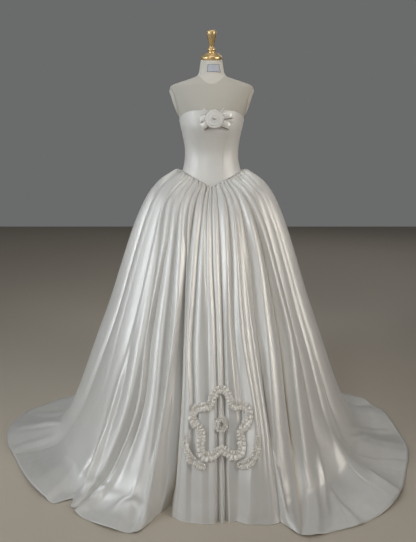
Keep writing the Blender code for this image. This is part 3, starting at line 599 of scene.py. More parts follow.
@dataclass(frozen=True)
class ClothFinish:
    """Finish of a woven or knitted cloth.

    Colours are linear; distances are in metres.
    """

    name: str
    weave: Weave
    colour: tuple
    shade: tuple
    roughness: float
    sheen: float = 0.1
    sheen_roughness: float = 0.4
    anisotropy: float = 0.0
    grain_turn: float = 0.25
    specular: float = 0.5
    metallic: float = 0.0
    # Colour mixed in by the mesh's 'fold' mask: painted shade in fold valleys, creases and under
    # ribbon layers; on the label, its printed frame; on the form's cover, the part below the neck
    # seam.
    folded: tuple | None = None
    thread_relief: float = 0.00004
    handling_relief: float = 0.0
    slub: float = 0.3
    tone_scale: float = 4.0
    # floor dust with painted shade: a darker colour mixed in low down
    dust_and_shade: float = 0.0
    dust_and_shade_colour: tuple = (0.42, 0.38, 0.32, 1.0)
    dust_roughness: float = 0.25
    fleck_share: float = 0.06
    fleck_light: float = 1.12
    uneven_roughness: float = 0.05
    thread_strength: float = 0.6

    def build(self, effects: Effects) -> bpy.types.Material:
        """Builds the material.

        Args:
            effects: the shared groups.

        Returns:
            The material.
        """
        made, kit, shader, place, tone, wear_and_shade, body = begun(self, effects)
        cut = kit.add("ShaderNodeTexCoord").outputs["UV"]
        across, down = self.weave.value
        weave = kit.add("ShaderNodeGroup", {"node_tree": effects.weave},
                        Place=cut, Across=across, Down=down, Slub=self.slub)
        # Painted shade: the 'fold' mask blends in the darker colour where folds, creases and
        # covering layers would be shaded.
        if self.folded:
            fold = kit.add("ShaderNodeAttribute", {"attribute_name": "fold"}).outputs["Fac"]
            body = kit.mix(kit.ramp(fold, 0.25, 1.0), body, (*self.folded, 1.0))
        fleck = (*(min(1.0, self.fleck_light * c) for c in self.colour), 1.0)
        flecks = kit.maths("MULTIPLY", weave.outputs["Slubs"], self.fleck_share)
        # Floor dust with painted shade, darker low down.
        dust_and_shade = kit.maths("MULTIPLY", wear_and_shade.outputs["Dust and shade"], self.dust_and_shade)
        dusty_and_shaded = kit.mix(dust_and_shade, kit.mix(flecks, body, fleck), self.dust_and_shade_colour)
        kit.feed(shader, "Base Color", dusty_and_shaded)
        rough = kit.maths("MULTIPLY_ADD", tone.outputs["Fine"], self.uneven_roughness,
                          self.roughness - self.uneven_roughness / 2)
        rough = kit.maths("MULTIPLY_ADD", wear_and_shade.outputs["Dust and shade"],
                          self.dust_roughness * self.dust_and_shade, rough)
        kit.feed(shader, "Roughness", rough)
        shader.inputs["Sheen Weight"].default_value = self.sheen
        shader.inputs["Sheen Roughness"].default_value = self.sheen_roughness
        shader.inputs["Metallic"].default_value = self.metallic
        shader.inputs["Anisotropic"].default_value = self.anisotropy
        shader.inputs["Anisotropic Rotation"].default_value = self.grain_turn
        shader.inputs["Specular IOR Level"].default_value = self.specular
        threads = kit.add("ShaderNodeBump", Height=weave.outputs["Height"],
                          Distance=self.thread_relief, Strength=self.thread_strength)
        normal = threads.outputs["Normal"]
        if self.handling_relief:
            handling = kit.add("ShaderNodeGroup", {"node_tree": effects.crease}, Place=place)
            soft = kit.add("ShaderNodeBump", Height=handling.outputs["Height"],
                           Distance=self.handling_relief, Strength=1.0, Normal=normal)
            normal = soft.outputs["Normal"]
        kit.feed(shader, "Normal", normal)
        return made


@dataclass(frozen=True)
class HardFinish:
    """Finish of metal, paint or pearl."""

    name: str
    colour: tuple
    shade: tuple
    roughness: float
    metallic: float = 0.0
    coat: float = 0.0
    specular: float = 0.5
    relief: float = 0.00005
    tone_scale: float = 12.0
    # floor dust with painted shade: a darker colour mixed in low down
    dust_and_shade: float = 0.0
    dust_and_shade_colour: tuple = (0.40, 0.37, 0.33, 1.0)
    rubbed_roughness: float = 0.12
    relief_strength: float = 0.5

    def build(self, effects: Effects) -> bpy.types.Material:
        """Builds the material.

        Args:
            effects: the shared groups.

        Returns:
            The material.
        """
        made, kit, shader, _, tone, wear_and_shade, body = begun(self, effects)
        # Floor dust with painted shade, darker low down.
        dust_and_shade = kit.maths("MULTIPLY", wear_and_shade.outputs["Dust and shade"], self.dust_and_shade)
        kit.feed(shader, "Base Color", kit.mix(dust_and_shade, body, self.dust_and_shade_colour))
        rough = kit.maths("MULTIPLY_ADD", wear_and_shade.outputs["Rub"], self.rubbed_roughness,
                          self.roughness)
        kit.feed(shader, "Roughness", rough)
        shader.inputs["Metallic"].default_value = self.metallic
        shader.inputs["Coat Weight"].default_value = self.coat
        shader.inputs["Specular IOR Level"].default_value = self.specular
        brushed = kit.add("ShaderNodeBump", Height=tone.outputs["Fine"],
                          Distance=self.relief, Strength=self.relief_strength)
        kit.feed(shader, "Normal", brushed.outputs["Normal"])
        return made


class Finishes:
    """Every finish of the gown and its form."""

    def __init__(self) -> None:
        """Builds the shared groups and each material."""
        effects = Effects()
        # Satin: its darker warm colour is painted shade and bounce light in the skirt's fold
        # valleys and tucks.
        self.satin = ClothFinish(
            "ivory_satin", Weave.SATIN, (0.815, 0.808, 0.785), (0.795, 0.784, 0.755), 0.42,
            sheen=0.05, sheen_roughness=0.35, anisotropy=0.4, specular=0.8, metallic=0.28,
            folded=(0.660, 0.590, 0.470), handling_relief=0.0003, dust_and_shade=0.30).build(effects)
        # Fitted satin: its dark colour paints a shadow line along the bodice's top edge.
        self.bodice_satin = ClothFinish(
            "ivory_satin_fitted", Weave.SATIN, (0.800, 0.791, 0.762), (0.780, 0.766, 0.732), 0.46,
            sheen=0.05, sheen_roughness=0.35, anisotropy=0.1, specular=0.75, metallic=0.10,
            folded=(0.300, 0.280, 0.250), handling_relief=0.0004).build(effects)
        # Ribbon: its dark warm colour is painted shade under the flower and on loop layers covered
        # by others.
        self.ribbon = ClothFinish(
            "cream_ribbon", Weave.RIBBON, (0.930, 0.920, 0.890), (0.910, 0.895, 0.860), 0.28,
            sheen=0.05, anisotropy=0.2, specular=0.8, metallic=0.12,
            folded=(0.480, 0.400, 0.320), handling_relief=0.0003,
            tone_scale=30.0).build(effects)
        # Flower: its dark colour is painted shade in its middle, along its wound folds and at its
        # rim.
        self.flower = ClothFinish(
            "flower_satin", Weave.RIBBON, (0.840, 0.830, 0.805), (0.815, 0.802, 0.772), 0.38,
            sheen=0.05, specular=0.7, metallic=0.08, folded=(0.380, 0.340, 0.290),
            handling_relief=0.0003, tone_scale=30.0).build(effects)
        # Ruched ribbon: its dark warm colour is painted shade in the creases between the puffs.
        self.ruche = ClothFinish(
            "ruched_ribbon", Weave.RIBBON, (0.930, 0.905, 0.855), (0.900, 0.870, 0.815), 0.26,
            sheen=0.05, specular=0.9, metallic=0.15, folded=(0.400, 0.320, 0.235),
            handling_relief=0.0004, tone_scale=40.0, dust_and_shade=0.1).build(effects)
        self.form_cloth = ClothFinish(
            "form_jersey", Weave.JERSEY, (0.735, 0.708, 0.648), (0.705, 0.676, 0.612), 0.86,
            sheen=0.25, sheen_roughness=0.6, specular=0.3, folded=(0.575, 0.553, 0.497),
            thread_relief=0.00012, slub=0.15, tone_scale=7.0).build(effects)
        self.plate_cloth = ClothFinish(
            "arm_plate_cloth", Weave.JERSEY, (0.700, 0.672, 0.610), (0.670, 0.640, 0.575), 0.80,
            sheen=0.20, sheen_roughness=0.6, specular=0.3, thread_relief=0.0001,
            slub=0.15, tone_scale=9.0).build(effects)
        self.label = ClothFinish(
            "label_satin", Weave.LABEL, (0.560, 0.590, 0.660), (0.520, 0.550, 0.620), 0.55,
            sheen=0.15, folded=(0.200, 0.210, 0.240), tone_scale=60.0).build(effects)
        self.gold = HardFinish(
            "brushed_gold", (0.860, 0.640, 0.330), (0.800, 0.570, 0.270), 0.34, metallic=0.80,
            relief=0.00006, tone_scale=30.0).build(effects)
        self.steel = HardFinish(
            "pole_steel", (0.560, 0.560, 0.540), (0.500, 0.500, 0.490), 0.30, metallic=1.0,
            dust_and_shade=0.3).build(effects)
        self.base = HardFinish(
            "base_black", (0.045, 0.045, 0.048), (0.060, 0.058, 0.056), 0.42,
            relief=0.0001, tone_scale=60.0, dust_and_shade=0.6).build(effects)
        self.pearl = HardFinish(
            "pearl", (0.950, 0.940, 0.920), (0.930, 0.900, 0.890), 0.10, coat=1.0, specular=1.0,
            relief=0.00001, tone_scale=120.0).build(effects)
        self.studio_floor = HardFinish(
            "studio_floor", (0.600, 0.535, 0.450), (0.588, 0.524, 0.440), 0.62,
            relief=0.0001, tone_scale=1.2).build(effects)


# ---- the gown's tables ---------------------------------------------------
# height, half width, front reach, back reach of the bare form
TORSO = (
    (0.780, 0.160, 0.100, 0.120),
    (0.890, 0.173, 0.108, 0.130),
    (1.000, 0.160, 0.107, 0.124),
    (1.036, 0.151, 0.104, 0.118),
    (1.070, 0.141, 0.101, 0.110),
    (1.112, 0.127, 0.096, 0.098),
    (1.130, 0.1207, 0.092, 0.093),
    (1.150, 0.1171, 0.088, 0.088),
    (1.168, 0.1151, 0.086, 0.0863),
    (1.185, 0.1147, 0.085, 0.086),
    (1.203, 0.1157, 0.088, 0.088),
    (1.221, 0.1182, 0.094, 0.091),
    (1.239, 0.1202, 0.102, 0.094),
    (1.257, 0.1237, 0.110, 0.097),
    (1.275, 0.1277, 0.117, 0.100),
    (1.293, 0.1327, 0.122, 0.103),
    (1.311, 0.1372, 0.125, 0.106),
    (1.338, 0.1412, 0.127, 0.109),
    (1.365, 0.1505, 0.125, 0.112),
    (1.401, 0.1645, 0.118, 0.115),
    (1.437, 0.1765, 0.108, 0.115),
    (1.472, 0.1862, 0.096, 0.110),
    (1.483, 0.1868, 0.092, 0.107),
    (1.491, 0.1785, 0.088, 0.104),
    (1.500, 0.1555, 0.084, 0.100),
    (1.509, 0.1275, 0.080, 0.094),
    (1.518, 0.1015, 0.075, 0.086),
    (1.527, 0.0770, 0.069, 0.077),
    (1.537, 0.0640, 0.063, 0.068),
    (1.554, 0.0562, 0.056, 0.058),
    (1.581, 0.0522, 0.051, 0.052),
    (1.608, 0.0488, 0.0488, 0.0488),
)
# azimuth from the front, height of the bodice's upper edge
NECKLINE = (
    (0, 1.3680), (34, 1.3670), (50, 1.3620), (72, 1.3460),
    (90, 1.3285), (120, 1.3150), (180, 1.3050),
)
# azimuth from the front, height of the waist seam: a dropped point in front
WAIST_SEAM = (
    (0, 1.0360), (7, 1.0430), (15, 1.0530), (30, 1.0685), (45, 1.0840),
    (60, 1.0980), (75, 1.1070), (90, 1.1125), (135, 1.1050), (180, 1.1000),
)
# panel, its two edges' azimuth at the top and at the foot, and its strips across
BODICE_PANELS = (
    ("bodice_front", -36, 36, -24, 24, 10),
    ("bodice_side_front_left", 36, 90, 24, 90, 7),
    ("bodice_side_back_left", 90, 140, 90, 142, 5),
    ("bodice_back_left", 140, 180, 142, 180, 4),
    ("bodice_back_right", 180, 220, 180, 218, 4),
    ("bodice_side_back_right", 220, 270, 218, 270, 5),
    ("bodice_side_front_right", 270, 324, 270, 336, 7),
)
# rows down the skirt: share of the reach, share of the seam's height, drop in m,
# share of the reach where it trains, share of the train, height share where it
# trains, share of a fold's depth, full depth of the small gathers, lift share
SKIRT_ROWS = (
    (0.000, 1.000, 0.0030, 0.000, 0.00, 1.000, 0.50, 0.0036, 0.00),
    (0.018, 1.000, 0.0024, 0.018, 0.00, 1.000, 1.10, 0.0098, 0.00),
    (0.053, 1.003, 0.0000, 0.053, 0.00, 1.003, 1.55, 0.0142, 0.00),
    (0.120, 0.987, 0.0000, 0.120, 0.00, 0.987, 1.75, 0.0150, 0.00),
    (0.200, 0.963, 0.0000, 0.200, 0.00, 0.963, 1.75, 0.0127, 0.00),
    (0.290, 0.919, 0.0000, 0.290, 0.00, 0.919, 1.70, 0.0092, 0.00),
    (0.370, 0.853, 0.0000, 0.370, 0.00, 0.853, 1.60, 0.0054, 0.00),
    (0.450, 0.760, 0.0000, 0.450, 0.00, 0.760, 1.50, 0.0034, 0.00),
    (0.540, 0.632, 0.0000, 0.540, 0.00, 0.632, 1.40, 0.0000, 0.00),
    (0.630, 0.502, 0.0000, 0.630, 0.00, 0.502, 1.35, 0.0000, 0.00),
    (0.720, 0.388, 0.0000, 0.720, 0.00, 0.388, 1.25, 0.0000, 0.00),
    (0.805, 0.279, 0.0000, 0.805, 0.00, 0.279, 1.15, 0.0000, 0.00),
    (0.880, 0.183, 0.0000, 0.880, 0.00, 0.183, 1.05, 0.0000, 0.00),
    (0.940, 0.100, 0.0000, 0.955, 0.00, 0.100, 1.00, 0.0000, 0.10),
    (0.968, 0.052, 0.0000, 1.000, 0.06, 0.042, 1.00, 0.0000, 0.55),
    (0.985, 0.025, 0.0000, 1.000, 0.28, 0.011, 1.00, 0.0000, 1.00),
    (0.994, 0.010, 0.0000, 1.000, 0.62, 0.000, 1.00, 0.0000, 0.90),
    (1.000, 0.000, 0.0000, 1.000, 1.00, 0.000, 1.00, 0.0000, 0.40),
)
# one crease line a row, valleys and ridges by turns: its azimuths at the skirt's
# crease_at rows, its depths in mm at its depth_at rows, how sharply it turns
CREASES = (
    (-98.7, -93, -90.5, -90, -90, -90, -90.4, -91.2, -92, 14, 14, 18, 24, 24, 22, 20, 0.3),
    (-91.1, -84, -77.8, -75.6, -75, -74, -75.1, -77.6, -80, 0, 0, 0, 0, 0, 0, 0, 0.2),
    (-85, -78, -69, -65, -64, -66, -67.5, -68.7, -70, 16, 16, 21, 28, 27, 26, 22, 0.2),
    (-73, -53.2, -53.2, -51.2, -50.5, -48, -52.7, -48.9, -46, 0, 0, 0, 0, 0, 0, 0, 0),
    (-67.2, -46.5, -46.5, -43.1, -41.5, -38.5, -41.8, -43.7, -44.2, 0, 2, 5, 7, 9, 8, 4, 0),
    (-63.2, -44, -44, -39, -36.2, -33.4, -35.9, -38.4, -38.2, 0, 0, 2, 3, 3, 3, 0, 0),
    (-59.7, -42.8, -42.8, -35.7, -32.4, -30.3, -32.9, -36.6, -37.2, 6, 8, 12, 18, 30, 52, 38, 0.6),
    (-55, -38.8, -36.9, -31.5, -31, -27.4, -31.1, -35, -36, 0, 0, -2, -3, -3, -3, 0, 0.7),
    (-50.9, -36, -34.1, -29.4, -28.4, -25.4, -26.7, -29.2, -30.2, 3, 4, 4, 8, 9, 6, 3, 0),
    (-46.4, -32.2, -30.7, -26.4, -24.4, -21.7, -22.8, -23.3, -23.5, 0, 0, 0, 0, 0, 0, 0, 0.1),
    (-41.7, -28.2, -26.9, -22, -18.4, -16.6, -16.7, -17.5, -17.8, 6, 7, 9, 13, 17, 14, 5, 0.5),
    (-37.5, -25.2, -24.1, -19.5, -16.7, -15.2, -14.2, -15, -15.8, 0, 0, -2, -4, -6, -8, -4, 0.7),
    (-33, -21.8, -20.4, -16.5, -14.2, -12, -11.7, -13, -13.2, 7, 10, 17, 26, 32, 42, 52, 0.3),
    (-28.5, -18, -17.3, -15.5, -13.2, -11, -10.6, -10.9, -11, 0, 0, 1, 5, 7, 6, 8, 0.3),
    (-24.7, -16, -15.2, -14, -12.2, -10, -9.6, -9.8, -9.8, 7, 8, 6, 7, 9, 8, 9, 0.4),
    (-19.8, -11.5, -10.5, -11.2, -11.2, -8.3, -8, -7.7, -7.5, 0, 0, -2, -3, -3, 0, 0, 0.7),
    (-15.5, -8.2, -7.5, -8.2, -8.4, -6.4, -6, -5.7, -5.5, 7, 7, 8, 12, 12, 6, 2, 0.1),
    (-11.6, -6, -5.8, -5.8, -5.9, -4.6, -3.2, -3, -2.8, 0, 0, 0, 0, 0, 0, 0, 0.6),
    (-7.9, -4.2, -4.2, -3.6, -1.8, -1.1, -1.2, -1.1, -1, 6, 6, 5, 5, 3, 2, 1, 0.2),
    (-4, -2, -2.6, -2.3, -0.1, 0.7, 0.5, 0.4, 0.2, 0, 0, 0, 0, 0, 0, 0, 0.7),
    (-0.1, 0.2, -0.2, 0.2, 1.6, 1.7, 1.5, 1.5, 1.5, 6, 6, 8, 10, 14, 20, 26, 0.7),
    (4, 3, 1.8, 2.1, 2.7, 2.7, 2.7, 2.6, 2.5, 0, 0, 0, 0, 0, 0, 0, 0.5),
    (8.4, 6.2, 4.7, 4.6, 4.8, 4.1, 3.7, 3.6, 3.5, 7, 7, 9, 12, 15, 20, 26, 0.7),
    (13, 10.2, 9.6, 8.3, 6.2, 5.5, 4.7, 4.6, 4.5, 0, 0, 0, 0, 0, 0, 0, 0.7),
    (17.5, 13.8, 12.9, 11.1, 8.8, 8.9, 7, 6.6, 6.2, 8, 10, 12, 14, 14, 9, 6, 0),
    (21.9, 17.2, 16.4, 14.6, 12.6, 14.3, 10.7, 9.7, 8.8, 0, 0, 0, 0, 0, 0, 0, 0.7),
    (26.4, 20.8, 19.4, 16.9, 15.2, 16, 14.2, 12.6, 11.5, 4, 4, 4, 4, 4, 4, 4, 0.1),
    (30.4, 23.2, 22.2, 19, 17.6, 17.4, 15.7, 15, 14.5, 0, 2, 4, 6, 6, 6, 3, 0.1),
    (34.2, 25.2, 24.4, 22.4, 19.8, 19.9, 17.7, 17.6, 17.5, 8, 11, 15, 19, 21, 19, 12, 0.6),
    (38.4, 28.2, 28.1, 28.4, 25.7, 21.8, 19.8, 19.2, 19, 0, 0, -2, -3, -4, -4, -2, 0.9),
    (43, 33, 34.3, 36, 34.4, 29.8, 26.8, 23.6, 20, 8, 14, 22, 30, 34, 34, 30, 0.4),
    (47.9, 36.8, 36.7, 37.9, 38.7, 33.8, 30.2, 26.6, 21, 0, 0, -2, -5, -6, -6, -3, 1.1),
    (53.2, 43.5, 45, 46.5, 46, 43, 38, 33, 27, 6, 9, 13, 16, 17, 13, 7, 0.1),
    (58.5, 48.5, 50, 51, 50.5, 47, 42, 37, 32, 0, 4, 9, 13, 14, 11, 5, 0),
    (63.6, 53, 53.8, 55, 54, 50.5, 46.5, 41, 37.5, 6, 8, 11, 14, 14, 11, 6, 0),
    (68.7, 57.5, 58, 58, 57, 54.8, 51.5, 48.5, 47, 0, 3, 6, 7, 7, 3, 0, 0),
    (74.9, 68, 61.8, 59.6, 59, 58, 58.6, 59.8, 61, 15, 15, 19, 24, 24, 22, 20, 0.2),
    (81.5, 75, 72.3, 69.3, 66, 64, 65, 67.3, 69.5, 0, 0, 0, 0, 0, 0, 0, 0.2),
    (88.2, 82, 80.7, 79, 77, 76, 76.7, 78.4, 80, 15, 15, 19, 25, 24, 23, 20, 0.3),
    (95.3, 90, 90, 89.7, 89, 89, 89.6, 90.8, 92, 0, 0, 0, 0, 0, 0, 0, 0.2),
)
# azimuth, how far the hem's outline lies from the form's axis
HEM = (
    (-180.0, 1.000), (-165.0, 0.980), (-150.0, 0.905), (-135.0, 0.800),
    (-122.0, 0.720), (-112.0, 0.690), (-100.0, 0.768), (-91.0, 0.868),
    (-84.6, 0.873), (-74.0, 0.853), (-66.7, 0.823), (-58.2, 0.803),
    (-49.0, 0.789), (-43.0, 0.778), (-40.5, 0.722), (-38.0, 0.752),
    (-33.3, 0.758), (-24.3, 0.755), (-21.5, 0.7515), (-18.6, 0.738),
    (-15.6, 0.632), (-14.0, 0.636), (-9.6, 0.656), (0.0, 0.661),
    (5.0, 0.655), (10.8, 0.676), (15.8, 0.690), (18.6, 0.697),
    (20.4, 0.762), (22.2, 0.774), (27.8, 0.788), (36.0, 0.814),
    (46.6, 0.828), (53.0, 0.826), (66.8, 0.819), (77.3, 0.815),
    (86.6, 0.800), (95.2, 0.783), (102.0, 0.765), (107.0, 0.700),
    (116.0, 0.675), (124.0, 0.722), (135.0, 0.800), (150.0, 0.905),
    (165.0, 0.980), (180.0, 1.000),
)
# skirt panel, first and last crease line (each a valley), counted in the full ring
SKIRT_PANELS = (
    ("skirt_front", 2, 36),
    ("skirt_side_left", 36, 44),
    ("skirt_back_left", 44, 52),
    ("skirt_back_right", 52, 60),
    ("skirt_side_right", 60, 66),
)
# ribbon piece: start x, z and end x, z from the flower's centre, width, lift off
# the bodice, rise of its end, and how far its upper layer or tip slides across
RIBBON_TAILS = (
    ("bow_tail_right", 0.020, -0.010, 0.079, -0.006, 0.015, 0.0021, 0.010, 0.0),
    ("bow_tail_up_left", -0.020, 0.022, -0.049, 0.041, 0.008, 0.0004, 0.009, -0.003),
    ("bow_tail_up_right", 0.022, 0.022, 0.042, 0.042, 0.009, 0.0004, 0.009, 0.003),
)
RIBBON_LOOPS = (
    ("bow_tail_low_left", -0.012, -0.010, -0.052, -0.038, 0.028, 0.0004, 0.011, -0.004),
    ("bow_tail_low_right", 0.012, -0.012, 0.064, -0.031, 0.028, 0.0004, 0.011, 0.003),
    ("bow_loop_left", -0.014, 0.008, -0.061, 0.004, 0.028, 0.0004, 0.010, 0.003),
    ("bow_loop_right", 0.018, 0.009, 0.075, 0.017, 0.027, 0.0004, 0.013, 0.002),
    ("bow_loop_top", 0.002, 0.017, -0.002, 0.041, 0.030, 0.0004, 0.008, 0.004),
)


# ---- shapes --------------------------------------------------------------
@dataclass(frozen=True)
class FormShape:
    """Surface of the bare form and of the fitted bodice over it."""

    roundness: float = 2.12
    bust_height: float = 1.288
    bust_azimuth: float = 30.0
    bust_reach: float = 0.008
    bust_spread: float = 26.0
    bust_tall: float = 0.055
    neck_top: float = 1.608
    neck_tilt: float = math.radians(16.0)
    tilt_from: float = 1.530
    ease: float = 0.0011
    bodice_wall: float = 0.0020
    meet_steps: int = 8

    def radius(self, azimuth: Array, height: Array) -> Array:
        """Distance of the form's surface from its axis.

        Args:
            azimuth: in degrees.
            height: over the floor.

        Returns:
            The distance at each place.
        """
        angle = np.radians(azimuth)
        half_width, front, back = (table_curve(TORSO, height, column) for column in (1, 2, 3))
        depth = np.where(np.cos(angle) > 0, front, back)
        across = (np.abs(np.sin(angle)) / half_width) ** self.roundness
        along = (np.abs(np.cos(angle)) / depth) ** self.roundness
        radius = (across + along) ** (-1.0 / self.roundness)
        turn = (from_front(azimuth) - self.bust_azimuth) / self.bust_spread
        rise = (height - self.bust_height) / self.bust_tall
        return radius + self.bust_reach * np.exp(-turn ** 2 - rise ** 2)

    def point(self, azimuth: Array, height: Array, clear: Array = 0.0) -> Grid:
        """Points on the form, or clear of it by a distance.

        Args:
            azimuth: in degrees.
            height: over the floor, before the neck's tilt.
            clear: how far off the form's surface.

        Returns:
            The points.
        """
        point = around(self.radius(azimuth, height) + clear, azimuth, height)
        span = self.neck_top - self.tilt_from
        blend = smoothstep((point[..., 2] - self.tilt_from) / span)
        point[..., 2] += point[..., 1] * math.tan(self.neck_tilt) * blend
        return point

    def bodice_front(self, x: Array, z: Array, lift: Array) -> Grid:
        """Points on the bodice's front.

        Args:
            x: to the gown's left.
            z: height.
            lift: how far off the bodice.

        Returns:
            The points.
        """
        x, z = np.asarray(x, float), np.asarray(z, float)
        azimuth = np.zeros(np.broadcast(x, z).shape)
        for _ in range(self.meet_steps):
            radius = self.radius(azimuth, z) + self.ease + self.bodice_wall + lift
            azimuth = np.degrees(np.arcsin(np.clip(x / radius, -1.0, 1.0)))
        return around(radius, azimuth, z)


@dataclass(frozen=True)
class Fold:
    """One soft ridge or trough laid on the skirt.

    The path is azimuth and row from its start down, the width in degrees at a
    third of its height, the height in metres (a trough is negative). Its side of
    greater azimuth is steep times as wide as the other, and at its foot it keeps
    the share left of its height.
    """

    path: tuple
    width: float
    height: float
    steep: float = 1.0
    left: float = 0.3

    def rise(self, azimuth: Array, row: Array) -> Array:
        """How far the fold lifts the cloth.

        Args:
            azimuth: of each place.
            row: of each place.

        Returns:
            The lift at each place.
        """
        start, end = self.path[0][1], self.path[-1][1]
        share = np.clip((row - start) / (end - start), 0.0, 1.0)
        inside = (row > start) & (row <= end)
        middle = curve([one[1] for one in self.path], [one[0] for one in self.path], row)
        off = (azimuth - middle + 180.0) % 360.0 - 180.0
        off = off / (self.width * np.where(off > 0, self.steep, 1.0))
        taper = smoothstep(share / 0.4) * (1.0 - (1.0 - self.left) * smoothstep(2 * share - 1))
        return np.where(inside, self.height * taper * np.exp(-off ** 2), 0.0)


@dataclass(frozen=True)
class SkirtShape:
    """Gathered skirt: a smooth bell, its organ folds, its train and small folds."""

    form: FormShape
    wall: float = 0.0018
    floor_left: float = 0.600
    floor_right: float = 0.628
    floor_front: float = 0.655
    floor_back: float = 0.625
    train_from: float = 0.030
    train_full: float = 0.120
    back_folds: int = 12
    plan_share: float = 0.35
    train_lift: float = 0.018
    back_from: float = 99.0
    back_to: float = 259.0
    back_depths: tuple = (13.0, 14.0, 16.0, 20.0, 21.0, 19.0, 16.0)
    back_uneven: float = 0.34
    back_sway: float = 1.4
    sway_down: tuple = (0.2, 0.8, 1.0, 0.6, 0.1, -0.4, -0.7, -1.0)
    crease_at: tuple = (0, 3, 5, 7, 9, 11, 13, 15, 17)
    depth_at: tuple = (3, 5, 7, 9, 11, 13, 17)
    fall_rows: int = 13
    hem_turn: float = 0.0009
    shallow_fold: float = 0.014
    deep_fold: float = 0.030
    hem_row: float = 16.86
    ridge_roll: float = 0.13
    body_clear: float = 0.012
    lobes_from: float = 9.5
    lobes_rows: float = 5.0
    valley_turn: float = 0.7
    gentle_turn: float = 1.1
    lean: float = 0.42
    lean_from: float = 15.0
    leaning_valleys: tuple = (8, 10, 14, 16, 18, 20, 22, 24, 28, 30)
    soft_valley: float = 0.20
    seen_to: float = 95.0
    ridge_bulge: float = 1.0
    crisp_turn: float = 1.6
    normal_passes: int = 5
    off_floor: float = 0.0012
    undulation: float = 0.0006
    tuck_shade: float = 0.85
    tuck_shaded: float = 0.008
    gather_step: float = 0.83
    gather_drift: float = 0.06
    gather_reach: tuple = (1.8, 5.2)
    gather_narrow: float = 0.22
    gather_width: tuple = (0.7, 1.5)
    gather_share: tuple = (0.35, 1.0)
    chance: int = 11

    def lines(self) -> Array:
        """All crease lines round the skirt, the back's worked out.

        Returns:
            A row for each, in the order of CREASES' columns.
        """
        lines = [list(row) for row in CREASES]
        count = 2 * self.back_folds
        first, last = CREASES[-1][0], CREASES[0][0] + 360.0
        for index in range(count):
            azimuth = self.back_from + (self.back_to - self.back_from) * index / (count - 1)
            seam = first + (last - first) * (index + 1) / (count + 1)
            sway = self.back_sway * math.sin(2.3 * index)
            row = [seam] + [azimuth + sway * share for share in self.sway_down]
            valley = index % 2 == 0
            for place, depth in enumerate(self.back_depths):
                uneven = 1.0 + self.back_uneven * math.sin(1.7 * index + 0.5 * place + 0.6)
                row.append(depth * uneven if valley else 0.0)
            row.append(0.35 + 0.35 * math.sin(2.9 * index + 1.0))
            lines.append(row)
        lines = np.array(lines, float)
        places = len(self.crease_at)
        for index in self.leaning_valleys:
            near = lines[index, :places].copy()
            back = np.where(near > 0, lines[index + 1, :places], lines[index - 1, :places])
            share = self.lean * np.abs(near / self.lean_from).clip(0.0, 1.0)
            share = share * smoothstep((66.0 - np.abs(near)) / 10.0)
            lines[index, :places] = near + (back - near) * share
        return lines

    def surface(self, line: Array, row: Array, folds: tuple) -> tuple:
        """The skirt's outer face.

        Args:
            line: places across, counted in crease lines.
            row: places down, counted in table rows.
            folds: the small folds laid on it.

        Returns:
            Its points as columns x rows, and the share of painted shade at each, 0 to 1, deep in
            fold valleys and tucks.
        """
        table = self.lines()
        azimuths, depths = self._down(table, row)
        sharp = (np.append(table[:, -1], table[0, -1]) * self.crisp_turn)[:, None]
        near = np.floor(line).astype(int)
        part = (line - near)[:, None]
        turns, near = near // len(table), near % len(table)
        azimuth = (1 - part) * azimuths[near] + part * azimuths[near + 1]
        azimuth = azimuth + 360.0 * turns[:, None]
        start, end = depths[near], depths[near + 1]
        sinks = end >= start
        roll = self.ridge_roll * np.sin(math.pi * part) ** 2 * self.hanging(row)[None, :]
        width = azimuths[near + 1] - azimuths[near]
        azimuth = azimuth + np.where(sinks, roll, -roll) * width
        shape = self._profile(np.where(sinks, part, 1.0 - part),
                              np.where(sinks, sharp[near], sharp[near + 1]),
                              np.where(sinks, sharp[near + 1], sharp[near]),
                              self._gentle(azimuth, near, sinks))
        depth = np.minimum(start, end) + np.abs(end - start) * shape
        most = np.maximum(start, end)
        crest = np.clip(1.0 - depth / np.maximum(most, 0.001), 0.0, 1.0)
        points = self._place(azimuth, depth, crest, row)
        rise = sum(fold.rise(azimuth, row[None, :]) for fold in folds)
        tucks = self._gathers(line, row)
        rise = rise + self._undulation(azimuth, row) - tucks
        rise = rise + self.hem_turn * smoothstep((row[None, :] - self.hem_row) / 0.1)
        normal = self.even_out(outward(points), self.normal_passes)
        points = points + normal * (self.wall + rise)[..., None]
        points[..., 2] = np.maximum(points[..., 2], self.off_floor)
        # Painted shade mask: darker deep in fold valleys, less on the flanks, and in the tucks
        # below the seam.
        flank = smoothstep((from_front(azimuth) - 50.0) / 20.0)
        deep = smoothstep((np.maximum(most, 0.0) - self.shallow_fold) / self.deep_fold)
        shaded = (1.0 - crest) ** 1.8 * deep * (1.0 - 0.8 * flank)
        tucked = self.tuck_shade * np.clip(tucks / self.tuck_shaded, 0.0, 1.0)
        return points, np.maximum(shaded, tucked)

    def _down(self, table: Array, row: Array) -> tuple:
        """Every crease line at the given rows, the first one again at the end.

        Args:
            table: the crease lines.
            row: places down.

        Returns:
            Azimuths and depths in metres, lines x rows.
        """
        places = len(self.crease_at)
        azimuths = np.array([curve(self.crease_at, one[:places], row) for one in table])
        depths = np.array([curve(self.depth_at, one[places:-1], row) for one in table]) / 1000.0
        azimuths = np.concatenate([azimuths, azimuths[:1] + 360.0])
        return azimuths, np.concatenate([depths, depths[:1]])

